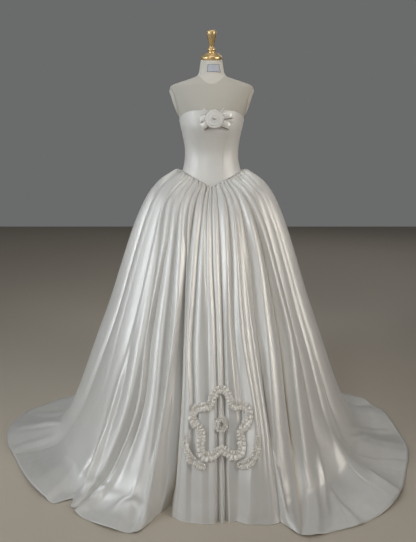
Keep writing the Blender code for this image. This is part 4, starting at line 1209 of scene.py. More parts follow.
    def _gentle(self, azimuth: Array, near: Array, sinks: Array) -> Array:
        """How gently a fold's side slopes: folds lean away from the front's middle.

        Args:
            azimuth: of every point.
            near: the crease line before each column.
            sinks: whether the cloth sinks from that line to the next.

        Returns:
            The share at every point, 0 to 1.
        """
        folded = (azimuth + 180.0) % 360.0 - 180.0
        behind = 0.8 * np.sin(2.1 * np.floor((near[:, None] + 1) / 2))
        leaning = np.where(np.abs(folded) < self.seen_to,
                           (folded / self.lean_from).clip(-1.0, 1.0), behind)
        return 0.5 + 0.5 * leaning * np.where(sinks, 1.0, -1.0)

    def _profile(self, toward: Array, crest_turn: Array, held: Array, gentle: Array) -> Array:
        """Share of a fold's depth on the way from its ridge to its valley.

        Args:
            toward: the way gone, 0 on the ridge and 1 in the valley.
            crest_turn: how sharply the ridge turns.
            held: how sharply the valley turns.
            gentle: how gently this side slopes.

        Returns:
            The share at every point.
        """
        crest_turn = crest_turn * (1.0 - 0.8 * gentle)
        valley_turn = self.valley_turn + self.gentle_turn * gentle
        valley_turn = valley_turn * np.clip(self.soft_valley + 1.2 * held, 0.0, 1.0)
        bulge = self.ridge_bulge * np.clip(2.0 * gentle - 1.0, 0.0, 1.0)
        shape = smoothstep(toward) + crest_turn * toward * (1.0 - toward) ** 2
        shape = shape - valley_turn * toward ** 2 * (1.0 - toward)
        return shape - bulge * toward * (1.0 - toward) ** 2

    def _gathers(self, line: Array, row: Array) -> Array:
        """Depth of the short tucks below the waist seam, uneven in every way.

        Args:
            line: places across, counted in crease lines.
            row: places down.

        Returns:
            How far the tucks sink the cloth at each place.
        """
        chance = np.random.default_rng(self.chance)
        count = len(CREASES) + 2 * self.back_folds
        full = curve(np.arange(len(SKIRT_ROWS)), [one[7] for one in SKIRT_ROWS], row)[None, :]
        sunk = np.zeros((len(line), len(row)))
        for place in np.arange(0.0, count, self.gather_step):
            place = place + chance.uniform(-0.5, 0.5) * self.gather_step
            drift = chance.uniform(-self.gather_drift, self.gather_drift)
            reach = chance.uniform(*self.gather_reach)
            narrow = self.gather_narrow * chance.uniform(*self.gather_width)
            share = chance.uniform(*self.gather_share)
            off = line[:, None] - place - drift * row[None, :]
            off = (off + count / 2) % count - count / 2
            side = np.where(off > 0, 1.0, 0.65)
            fade = 1.0 - smoothstep((row[None, :] / reach - 0.25) / 0.75)
            sunk = np.maximum(sunk, share * fade * np.exp(-(off / narrow / side) ** 2))
        return sunk * full

    @staticmethod
    def even_out(normal: Grid, times: int) -> Grid:
        """Normals averaged with their neighbours across.

        Args:
            normal: the normals.
            times: how often.

        Returns:
            The evener normals.
        """
        for _ in range(times):
            normal = normal.copy()
            normal[1:-1] += 0.5 * (normal[:-2] + normal[2:])
            normal /= np.linalg.norm(normal, axis=-1, keepdims=True)
        return normal

    def hanging(self, row: Array) -> Array:
        """1 where the skirt hangs free, 0 at the waist and on the floor."""
        return smoothstep((row - 2.0) / 3.0) * smoothstep((self.fall_rows + 2.0 - row) / 4.0)

    def _undulation(self, azimuth: Array, row: Array) -> Array:
        """Slow unevenness of a hanging cloth, up to about a millimetre.

        Args:
            azimuth: of every point.
            row: places down.

        Returns:
            Its rise at every point.
        """
        turn = np.radians(azimuth)
        down = row[None, :]
        wave = np.sin(7 * turn + 0.9 * down) * np.sin(0.55 * down + 3 * turn + 0.4)
        wave = wave + 0.6 * np.sin(17 * turn - 1.3 * down + 1.1) * np.sin(0.8 * down)
        return self.undulation * wave * smoothstep((down - 3.0) / 3.0)

    def _place(self, azimuth: Array, depth: Array, crest: Array, row: Array) -> Grid:
        """Points of the inner face.

        Args:
            azimuth: of every point.
            depth: of the fold there.
            crest: 1 on a ridge, 0 in a valley.
            row: places down.

        Returns:
            The points.
        """
        index = np.arange(len(SKIRT_ROWS))
        columns = [curve(index, [one[k] for one in SKIRT_ROWS], row)[None, :] for k in range(9)]
        reach, level, drop, floor_reach, out, low, share, _, lift = columns
        seam = table_curve(WAIST_SEAM, from_front(azimuth))
        start = self.form.radius(azimuth, seam) + self.form.ease
        hem = table_curve(HEM, (azimuth + 180.0) % 360.0 - 180.0)
        angle = np.radians(azimuth)
        deep = np.where(np.cos(angle) > 0, self.floor_front, self.floor_back)
        side = np.where(np.sin(angle) > 0, self.floor_left, self.floor_right)
        floor = ((np.sin(angle) / side) ** 2 + (np.cos(angle) / deep) ** 2) ** -0.5
        train = hem - floor
        body = np.minimum(hem, floor + self.body_clear)
        body = body + (hem - body) * smoothstep((row - self.lobes_from) / self.lobes_rows)
        lying = smoothstep((train - self.train_from) / (self.train_full - self.train_from))
        standing = start + (body - start) * reach
        trained = start + (floor - start) * floor_reach + train * out
        radius = standing + (trained - standing) * lying
        height = seam * (level + (low - level) * lying) - drop
        steps = np.gradient(row)[None, :]
        outs = np.gradient(radius, axis=1) / steps
        downs = -np.gradient(height, axis=1) / steps
        length = np.hypot(outs, downs).clip(1e-9)
        on_skirt = smoothstep(self.fall_rows - row)[None, :]
        lean_up = outs / length * on_skirt * smoothstep(row)[None, :]
        lean_out = downs / length * on_skirt + (1.0 - on_skirt)
        on_floor = smoothstep((row - self.fall_rows + 1) / 3.0)[None, :]
        plan = 1.0 - (1.0 - self.plan_share) * lying * on_floor
        sink = depth * share * plan
        radius = radius - sink * lean_out
        height = height - sink * lean_up
        height = height + self.train_lift * crest ** 1.5 * lift * lying
        return around(radius, azimuth, np.maximum(height, 0.0))


# ---- sub-assemblies ------------------------------------------------------
@dataclass
class DressForm:
    """Limbless form: covered torso, arm plates, label, turned neck cap, pole and foot."""

    shape: FormShape
    finishes: Finishes
    columns: int = 216
    rows: int = 240
    neck_seam: float = 1.478
    neck_rise: float = 14.0
    neck_blend: float = 0.014
    plate_middle: float = 1.4165
    plate_half_tall: float = 0.062
    plate_half_turn: float = 17.0
    plate_clear: float = 0.0012
    plate_wall: float = 0.003
    plate_spokes: int = 72
    plate_rings: int = 18
    label_turn: tuple = (-20.0, 40.0)
    label_height: tuple = (1.5900, 1.5430)
    label_wall: float = 0.0010
    label_cloth: float = 0.0006
    label_flat: tuple = (0.062, 0.047)
    label_columns: int = 40
    label_rows: int = 26
    label_stitches: int = 16
    stitched_to: float = 0.88
    stitched_at: float = 0.84
    stitch_length: float = 0.0022
    stitch_radius: float = 0.00035
    cap_segments: int = 96
    handle_segments: int = 80
    neck_cap: tuple = (
        (0.0, 0.030), (0.0300, 0.030), (0.0325, 0.0285), (0.0345, 0.0245),
        (0.0420, 0.0205), (0.0470, 0.0150), (0.0487, 0.0085), (0.0470, 0.0025),
        (0.0455, 0.0003), (0.0, 0.0003),
    )
    handle: tuple = (
        (0.0, 0.1310), (0.0110, 0.1302), (0.0185, 0.1270), (0.0218, 0.1205),
        (0.0220, 0.1130), (0.0196, 0.1000), (0.0156, 0.0830), (0.0124, 0.0690),
        (0.0106, 0.0590), (0.0112, 0.0535), (0.0165, 0.0505), (0.0185, 0.0445),
        (0.0165, 0.0392), (0.0138, 0.0365), (0.0156, 0.0325), (0.0156, 0.0303),
        (0.0, 0.0303),
    )

    def build(self) -> None:
        """Builds and dresses every piece of the form."""
        self.build_torso()
        self.build_plate("arm_plate_left", 1)
        self.build_plate("arm_plate_right", -1)
        self.build_label()
        self.build_turned()
        for node, finish, slot in (("form_pole", self.finishes.steel, "pole_steel"),
                                   ("form_base", self.finishes.base, "base_black")):
            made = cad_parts[node]
            made.data.materials.clear()
            made.data.materials.append(finish)

    def build_torso(self) -> None:
        """The covered body, closed at the neck and at the foot."""
        azimuth = np.arange(self.columns)[:, None] * 360.0 / self.columns
        height = np.linspace(TORSO[-1][0], TORSO[0][0], self.rows)[None, :]
        grid = self.shape.point(azimuth + 0 * height, height + 0 * azimuth)
        points, faces = capped(grid)
        flat = flat_places(grid).reshape(-1, 2)
        uv = np.concatenate([flat, flat[:1], flat[-1:]])
        seam = self.neck_seam + self.neck_rise * points[:, 0] ** 2
        below = smoothstep((seam + self.neck_blend - points[:, 2]) / self.neck_blend)
        made = Piece("covered_torso", points, faces, uv, below)
        made = made.dress(self.finishes.form_cloth, "form_cloth", "form_torso")

    def build_plate(self, name: str, side: int) -> None:
        """Covered board that closes an arm cut.

        Args:
            name: its node's name, without the form's.
            side: 1 for the left, -1 for the right.
        """
        share = np.linspace(1.0, 0.02, self.plate_rings)[None, :]
        turn = np.arange(self.plate_spokes)[:, None] * 2 * math.pi / self.plate_spokes
        azimuth = (90.0 + self.plate_half_turn * share * np.cos(turn)) * side
        height = self.plate_middle + self.plate_half_tall * share * np.sin(turn)
        puff = np.sqrt(np.clip(1.0 - share ** 8, 0.0, 1.0))
        grid = self.shape.point(azimuth, height, self.plate_clear + self.plate_wall * puff)
        back = self.shape.point(azimuth[:, :1], height[:, :1], self.plate_clear)
        grid = np.concatenate([back, grid], axis=1)
        if side > 0:
            grid = grid[::-1]
        points, faces = capped(grid, turned=True)
        made = Piece(f"covered_{name}", points, faces, points[:, 1:])
        made.dress(self.finishes.plate_cloth, "plate_cloth", f"form_{name}")

    def build_label(self) -> None:
        """Small bare label, sewn to the neck with short stitches along two edges."""
        columns, rows = self.label_columns, self.label_rows
        azimuth = np.linspace(*self.label_turn, columns)[:, None]
        height = np.linspace(*self.label_height, rows)[None, :]
        across = np.linspace(-1, 1, columns)[:, None]
        down = np.linspace(-1, 1, rows)[None, :]
        edge = np.maximum(np.abs(across), np.abs(down))
        puff = 0.55 + 0.45 * np.clip((1.0 - edge) / 0.14, 0.0, 1.0)
        clear = self.shape.ease + self.label_wall * puff
        grid = self.shape.point(azimuth + 0 * height, height + 0 * azimuth, clear)
        frame_line = smoothstep((edge - 0.86) / 0.08)
        label = cloth("neck_label", grid, self.label_cloth, uv=flat_places(grid),
                      depth=frame_line)
        label = label.dress(self.finishes.label, "label", "form_label")
        stitches = []
        for share in np.linspace(-self.stitched_to, self.stitched_to, self.label_stitches):
            for level in (-self.stitched_at, self.stitched_at):
                i = round((share + 1) / 2 * (columns - 1))
                j = round((level + 1) / 2 * (rows - 1))
                stitches.append((grid[int(i), int(j)], Vector((1, 0, 0))))
        made = stitch_run("label_stitches", stitches, self.stitch_length, self.stitch_radius)
        made.dress(self.finishes.ribbon, "ribbon")

    def build_turned(self) -> None:
        """Neck cap and handle on the tilted neck."""
        tilt = Matrix.Rotation(self.shape.neck_tilt, 4, "X")
        neck = Matrix.Translation(Vector((0.0, 0.0, self.shape.neck_top))) @ tilt
        cap = lathe("turned_neck_cap", rounded(self.neck_cap), self.cap_segments, neck)
        cap.dress(self.finishes.gold, "gold", "form_neck_cap")
        handle = lathe("turned_handle", rounded(self.handle), self.handle_segments, neck)
        handle.dress(self.finishes.gold, "gold", "form_handle")


def stitch_run(name: str, places: list, length: float, radius: float, sides: int = 6,
               rings: tuple = (-0.5, -0.3, 0.0, 0.3, 0.5)) -> Piece:
    """Row of short thread stitches.

    Args:
        name: the piece's name.
        places: each stitch's middle and direction.
        length: of a stitch.
        radius: of the thread.
        sides: faces round the thread.
        rings: places of its sections, in shares of its length from its middle.

    Returns:
        The piece.
    """
    points, faces = [], []
    for middle, way in places:
        way = Vector(way).normalized()
        side = way.cross(Vector((0.0, 0.0, 1.0)))
        side = side.normalized() if side.length > 0.1 else Vector((1.0, 0.0, 0.0))
        up = way.cross(side)
        first = len(points)
        for ring in rings:
            swell = radius * (1.0 - (2 * abs(ring)) ** 4 * 0.7)
            for step in range(sides):
                angle = 2 * math.pi * step / sides
                offset = side * math.cos(angle) * swell + up * math.sin(angle) * swell
                points.append(Vector(middle) + way * ring * length + offset)
        for ring in range(len(rings) - 1):
            for step in range(sides):
                a = first + ring * sides + step
                b = first + ring * sides + (step + 1) % sides
                faces.append((a, b, b + sides, a + sides))
        faces.append(tuple(first + step for step in reversed(range(sides))))
        end = first + (len(rings) - 1) * sides
        faces.append(tuple(end + step for step in range(sides)))
    return Piece(name, np.array(points), faces)


@dataclass
class Bodice:
    """Strapless fitted bodice of seven panels."""

    shape: FormShape
    finishes: Finishes
    bridge_steps: tuple = (-0.040, -0.028, -0.014, 0.0, 0.014, 0.028, 0.040)
    rows: int = 120
    cloth_wall: float = 0.0012
    seam_gap: float = 0.0003
    seam_depth: float = 0.0002
    seam_width: float = 0.0034
    edge_round: float = 0.0016
    edge_drop: float = 0.6
    edge_shade: float = 0.0024
    strip_steps: int = 8
    end_share: float = 0.008
    end_steps: tuple = (6, 4)
    gap_radius: float = 0.115
    seam_radius: float = 0.12
    drag_slope: float = 0.35
    degree: float = 0.002
    pucker_waves: tuple = (0.0135, 0.0072)
    pucker_rise: float = 0.00016
    pucker_off: float = 0.004
    drag: tuple = (
        # azimuth, height, length along z, width in degrees, rise
        (-33.0, 1.172, 0.050, 7.0, 0.0008), (-58.0, 1.150, 0.035, 9.0, 0.0007),
        (31.0, 1.180, 0.046, 7.0, 0.0008), (55.0, 1.158, 0.036, 9.0, 0.0007),
        (-12.0, 1.130, 0.060, 6.0, 0.0004), (14.0, 1.118, 0.060, 6.0, 0.0004),
        (-70.0, 1.300, 0.026, 8.0, 0.0006), (70.0, 1.298, 0.026, 8.0, 0.0006),
        (160.0, 1.180, 0.050, 8.0, 0.0008), (-160.0, 1.176, 0.050, 8.0, 0.0008),
        (120.0, 1.190, 0.040, 9.0, 0.0006), (-118.0, 1.194, 0.040, 9.0, 0.0006),
    )

    def build(self) -> None:
        """Builds and dresses each panel."""
        for name, top_from, top_to, foot_from, foot_to, strips in BODICE_PANELS:
            grid = self.panel(top_from, top_to, foot_from, foot_to,
                              strips * self.strip_steps)
            # Painted shadow: the 'fold' mask darkens a thin line along each panel's top edge.
            made = cloth(f"satin_{name}", grid, self.cloth_wall, uv=flat_places(grid),
                         depth=np.exp(-(run_down(grid) / self.edge_shade) ** 2))
            made = made.dress(self.finishes.bodice_satin, "satin", name)

    def panel(self, top_from: float, top_to: float, foot_from: float, foot_to: float,
              strips: int) -> Grid:
        """Outer face of one panel.

        Args:
            top_from: azimuth of its first edge at the top.
            top_to: azimuth of its last edge at the top.
            foot_from: azimuth of its first edge at the foot.
            foot_to: azimuth of its last edge at the foot.
            strips: divisions across.

        Returns:
            Its points.
        """
        drawn = math.degrees(0.5 * self.seam_gap / self.gap_radius)
        across = np.linspace(0.0, 1.0, strips + 1)
        across = (0.5 - 0.5 * np.cos(math.pi * across)) * 0.5 + across * 0.5
        across = across[:, None]
        first, last = self.end_share, 1.0 - self.end_share
        upper, lower = self.end_steps
        down = np.concatenate([np.linspace(0.0, first, upper)[:-1],
                               np.linspace(first, last, self.rows - upper - lower + 2),
                               np.linspace(last, 1.0, lower)[1:]])[None, :]
        left = top_from + (foot_from - top_from) * down + drawn
        right = top_to + (foot_to - top_to) * down - drawn
        azimuth = left + (right - left) * across
        top = table_curve(NECKLINE, from_front(azimuth))
        foot = table_curve(WAIST_SEAM, from_front(azimuth))
        height = top + (foot - top) * down
        metres = np.radians(right - left) * self.seam_radius
        edge = np.minimum(across, 1.0 - across) * metres
        clear = self.shape.ease + self.shape.bodice_wall
        clear = clear - self.seam_depth * np.exp(-(edge / self.seam_width) ** 2)
        clear = clear + self.pucker(edge, height) + self.bridge(azimuth, height)
        fallen = np.clip((top - height) / self.edge_round, 0.0, 1.0)
        lip = 1.0 - np.sqrt(1.0 - (1.0 - fallen) ** 2)
        clear = clear - self.edge_drop * self.edge_round * lip
        for turn, level, tall, wide, rise in self.drag:
            off = ((azimuth - turn + 180.0) % 360.0 - 180.0) / wide
            slope = self.drag_slope * np.sign(turn) * off * wide * self.degree
            clear = clear + rise * np.exp(-off ** 2 - ((height - level + slope) / tall) ** 2)
        return self.shape.point(azimuth, height, clear)

    def bridge(self, azimuth: Array, height: Array) -> Array:
        """How far the drawn cloth stands off the hollow of the waist."""
        near = sum(self.shape.radius(azimuth, height + step) for step in self.bridge_steps)
        return np.maximum(near / len(self.bridge_steps) - self.shape.radius(azimuth, height), 0.0)

    def pucker(self, edge: Array, height: Array) -> Array:
        """Small waves along a sewn seam, gone a centimetre away from it.

        Args:
            edge: distance from the seam.
            height: over the floor.

        Returns:
            The cloth's rise.
        """
        long, short = self.pucker_waves
        wave = np.sin(height * 2 * math.pi / long) + 0.5 * np.sin(height * 2 * math.pi / short)
        near = np.exp(-((edge - self.pucker_off) / self.pucker_off) ** 2)
        return self.pucker_rise * wave * near


@dataclass
class Skirt:
    """Very full gathered skirt of five panels with a train all round."""

    shape: SkirtShape
    finishes: Finishes
    hem_step: float = 0.0056
    hem_radius: float = 0.80
    fewest: int = 10
    even_share: float = 0.45
    before: int = 1
    beyond: int = 3
    rows_of: tuple = ((0.0, 3.0, 18), (3.0, 12.5, 36), (12.5, 17.0, 38))
    cloth_wall: float = 0.0010
    seam_gap: float = 0.0004
    folds: tuple = ()
    front: Grid = field(default=None, repr=False)

    def build(self) -> None:
        """Builds and dresses each panel."""
        row = [np.linspace(top, foot, count, endpoint=False) for top, foot, count in self.rows_of]
        row = np.append(np.concatenate(row), self.rows_of[-1][1])
        line = self.places_across()
        points, depth = self.shape.surface(line, row, self.folds)
        for name, first, last in SKIRT_PANELS:
            start, end = np.searchsorted(line, (first - 1e-6, last + 1e-6))
            grid = points[start:end].copy()
            for edge, near in ((0, 1), (-1, -2)):
                toward = grid[near] - grid[edge]
                toward /= np.linalg.norm(toward, axis=-1, keepdims=True).clip(1e-9)
                grid[edge] += toward * self.seam_gap / 2
            # depth is the painted-shade mask of the fold valleys and tucks.
            made = cloth(f"satin_{name}", grid, self.cloth_wall, uv=flat_places(grid),
                         depth=depth[start:end])
            made = made.dress(self.finishes.satin, "satin", name)
            if name == "skirt_front":
                self.front = grid

    def places_across(self) -> Array:
        """Places across, closer together near each crease line.

        Returns:
            The places, counted in crease lines.
        """
        table = self.shape.lines()
        count = len(table)
        hem = table[:, len(self.shape.crease_at) - 1]
        hem = np.append(hem, hem[0] + 360.0)
        places = []
        for index in range(-self.before, count + self.beyond):
            turn = math.radians(hem[index % count + 1] - hem[index % count])
            steps = max(self.fewest, round(turn * self.hem_radius / self.hem_step))
            part = np.arange(steps) / steps
            eased = 0.5 - 0.5 * np.cos(math.pi * part)
            part = self.even_share * part + (1.0 - self.even_share) * eased
            places.append(index + part)
        return np.append(np.concatenate(places), float(count + self.beyond))

    @staticmethod
    def area(grid: Grid) -> float:
        """Area of a face.

        Args:
            grid: its points.

        Returns:
            Square metres.
        """
        a, b = grid[:-1, :-1], grid[1:, :-1]
        c, d = grid[1:, 1:], grid[:-1, 1:]
        first = np.linalg.norm(np.cross(b - a, c - a), axis=-1)
        second = np.linalg.norm(np.cross(c - a, d - a), axis=-1)
        return float((first + second).sum() / 2)


@dataclass
class Rosette:
    """Bow of ribbon ends and loops with a flat wound flower and a pearl."""

    shape: FormShape
    finishes: Finishes
    x: float = 0.0115
    z: float = 1.3260
    wall: float = 0.0012
    ribbon_thick: float = 0.0007
    ribbon_bow: float = 0.0032
    ribbon_columns: int = 13
    tail_rows: int = 30
    tail_ripple: float = 0.0005
    loop_rows: int = 70
    loop_spring: float = 0.25
    loop_end: float = 0.07
    loop_gap: float = 0.0006
    flower_radius: float = 0.0405
    flower_depth: float = 0.0085
    flower_lift: float = 0.0105
    flower_spokes: int = 176
    flower_rings: int = 66
    flower_turns: float = 3.0
    flower_hollow: float = 0.0016
    flower_step: float = 0.0013
    flower_waves: tuple = (0.0004, 0.0006)
    flower_rim: float = 0.0045
    back_share: tuple = (0.985, 0.90, 0.60, 0.27, 0.208)
    back_high: tuple = (0.0006, 0.0, -0.001, -0.003)
    back_seat: float = 0.0006
    bead_radius: float = 0.0055
    bead_lift: float = 0.0008
    bead_off: float = 0.003
    bead_segments: int = 40
    knot_stitches: int = 7
    knot_radius: float = 0.0042
    knot_back: float = 0.0046
    knot_length: float = 0.0030
    knot_thread: float = 0.0004

    def build(self) -> None:
        """Builds and dresses the bow, the flower and the pearl."""
        for row in RIBBON_TAILS:
            self.build_tail(row)
        for row in RIBBON_LOOPS:
            self.build_loop(row)
        self.build_flower()
        self.build_pearl()

    def strip(self, line: Array, row: tuple, across: Array) -> Grid:
        """Ribbon that follows a line of distance along and height off the bodice.

        Args:
            line: rows of distance along and height.
            row: the ribbon's table row.
            across: places across from 1 to -1.

        Returns:
            Points, line x across.
        """
        _, x0, z0, x1, z1, width, lift, rise, slide = row
        length = math.hypot(x1 - x0, z1 - z0)
        side_x, side_z = -(z1 - z0) / length, (x1 - x0) / length
        share = line[:, :1] / length
        raised = ((line[:, 1:] - lift - self.wall) / rise).clip(0.0, 1.2)
        off = across[None, :] * width / 2 + slide * raised
        x = self.x + x0 + (x1 - x0) * share + side_x * off
        z = self.z + z0 + (z1 - z0) * share + side_z * off
        bow = self.ribbon_bow * raised * (1.0 - across[None, :] ** 2)
        return self.shape.bodice_front(x, z, line[:, 1:2] + bow)

    def finish_ribbon(self, name: str, grid: Grid, shade: Array) -> None:
        """Args:
            name: its node's name.
            grid: its outer face.
            shade: painted shade along it.
        """
        made = cloth(f"ribbon_{name}", grid, self.ribbon_thick, uv=flat_places(grid),
                     depth=shade[:, None] + 0.0 * grid[..., 0])
        made = made.dress(self.finishes.ribbon, "ribbon", name)

    def build_tail(self, row: tuple) -> None:
        """Flat ribbon end that leaves the bodice a little at its tip.

        Args:
            row: its row of RIBBON_TAILS.
        """
        name, x0, z0, x1, z1, _, lift, rise, _ = row
        length = math.hypot(x1 - x0, z1 - z0)
        share = np.linspace(0.0, 1.0, self.tail_rows)
        ripple = self.tail_ripple * np.sin(share * 7.0 + x0 * 300.0) * share
        line = np.stack([share * length, lift + self.wall + rise * share ** 2 + ripple], -1)
        grid = self.strip(line, row, np.linspace(1.0, -1.0, self.ribbon_columns))
        # Painted shade where the tail runs under the flower.
        shade = 0.8 * (1.0 - smoothstep(share / 0.35))
        if x1 < x0:
            grid, shade = grid[::-1, ::-1], shade[::-1]
        self.finish_ribbon(name, grid, shade)

    def build_loop(self, row: tuple) -> None:
        """Ribbon that runs out, turns back on itself and returns, open at both sides.

        Args:
            row: its row of RIBBON_LOOPS.
        """
        name, x0, z0, x1, z1, _, lift, rise, _ = row
        length = math.hypot(x1 - x0, z1 - z0)
        low = lift + self.wall
        high = low + rise
        spring = low + rise * self.loop_spring
        path = [(share * length, low + rise * self.loop_spring * share)
                for share in (0.0, 0.35, 0.7, 0.9)]
        middle, reach = 0.5 * (spring + high), 0.5 * (high - spring)
        for turn in (-50, 0, 50):
            angle = math.radians(turn)
            along = (1.0 - self.loop_end + self.loop_end * math.cos(angle)) * length
            path.append((along, middle + reach * math.sin(angle)))
        closed = low + self.wall + self.loop_gap
        for share in (0.88, 0.6, 0.3, 0.02):
            path.append((share * length, closed + (high - closed) * share ** 0.5))
        path = np.array(path)
        run = np.concatenate([[0.0], np.cumsum(np.linalg.norm(np.diff(path, axis=0), axis=1))])
        fine = np.linspace(0.0, run[-1], self.loop_rows)
        line = np.stack([curve(run, path[:, 0], fine), curve(run, path[:, 1], fine)], -1)
        flow = np.gradient(line, axis=0)
        flow /= np.linalg.norm(flow, axis=1, keepdims=True)
        away = np.stack([flow[:, 1], -flow[:, 0]], -1)
        across = np.linspace(1.0, -1.0, self.ribbon_columns)
        grid = self.strip(line + away * self.wall, row, across)
        share = fine / run[-1]
        # Painted shade on the lower layer under the upper one, and near where the upper layer
        # tucks under the flower.
        shade = 1.0 - smoothstep((share - 0.40) / 0.12) + 0.7 * smoothstep((share - 0.75) / 0.25)
        self.finish_ribbon(name, grid[:, ::-1], shade)

    def build_flower(self) -> None:
        """Flat flower wound of a folded satin strip."""
        turn = np.arange(self.flower_spokes)[:, None] / self.flower_spokes
        share = np.linspace(0.02, 1.0, self.flower_rings)[None, :]
        angle = 2 * math.pi * turn
        wound = (share * self.flower_turns + turn) % 1.0
        petal = np.sin(5 * angle + 9.0 * share) + 0.5 * np.sin(9 * angle - 14.0 * share)
        fold = wound ** 0.8 * (1.0 - smoothstep((wound - 0.82) / 0.18))
        high = self.flower_depth * (1.0 - 0.45 * share ** 2)
        petal_rise, rim_wave = self.flower_waves
        high = high + self.flower_step * (fold - 0.35) + petal_rise * petal * share
        high = high - self.flower_rim * smoothstep((share - 0.93) / 0.07)
        high = high - self.flower_hollow * (1.0 - smoothstep((share - 0.10) / 0.16))
        # Painted shade in the flower's middle hollow, along its wound folds and at its rim.
        shade = 0.75 * (1.0 - smoothstep((share - 0.12) / 0.14)) + 0.40 * (1.0 - fold) * share
        shade = shade + 0.6 * smoothstep((share - 0.92) / 0.08)
        radius = self.flower_radius * share * (1.0 + 0.025 * np.sin(5 * angle) * share)
        radius = radius + rim_wave * np.sin(23 * angle + 2.0) * smoothstep((share - 0.8) / 0.2)
        back_share = np.array(self.back_share)[None, :]
        back_high = np.array([*self.back_high, self.back_seat - self.flower_lift])[None, :]
        radius = np.concatenate([radius, self.flower_radius * back_share + 0 * turn], axis=1)
        high = np.concatenate([high, back_high + 0 * turn], axis=1)
        origin = self.shape.bodice_front(self.x, self.z, self.flower_lift)
        grid = np.stack([origin[0] + radius * np.cos(angle), origin[1] - high,
                         origin[2] + radius * np.sin(angle)], -1)
        points, faces = capped(grid)
        shade = np.pad(shade, ((0, 0), (0, back_share.shape[1])))
        shade = np.append(shade.ravel(), (0.75, 0.0))
        made = Piece("wound_flower", points, faces, points[:, ::2], shade)
        made.dress(self.finishes.flower, "satin", "flower")

    def build_pearl(self) -> None:
        """Pearl on the flower's middle with the thread knot that holds it."""
        origin = self.shape.bodice_front(self.x, self.z, self.flower_lift)
        lift = self.flower_depth + self.bead_radius + self.bead_lift
        place = Vector(origin) + Vector((self.bead_off, -lift, self.bead_off))
        half = np.linspace(0.0, math.pi, 25)
        profile = np.stack([self.bead_radius * np.sin(half), self.bead_radius * np.cos(half)], -1)
        made = lathe("pearl_bead", profile, self.bead_segments, Matrix.Translation(place))
        made.dress(self.finishes.pearl, "pearl", "flower_bead")
        ring = []
        for step in range(self.knot_stitches):
            angle = 2 * math.pi * step / self.knot_stitches
            spot = place + Vector((self.knot_radius * math.cos(angle), self.knot_back,
                                   self.knot_radius * math.sin(angle)))
            ring.append((spot, Vector((-math.sin(angle), 0.0, math.cos(angle)))))
        knot = stitch_run("pearl_stitches", ring, self.knot_length, self.knot_thread)
        knot.dress(self.finishes.ribbon, "ribbon")


class Ruched(Enum):
    """The lines that ruched ribbon is sewn along."""

    PETALS = "applique_petals"
    HEART = "applique_heart"
    LEAF_LEFT = "applique_leaf_left"
    LEAF_RIGHT = "applique_leaf_right"


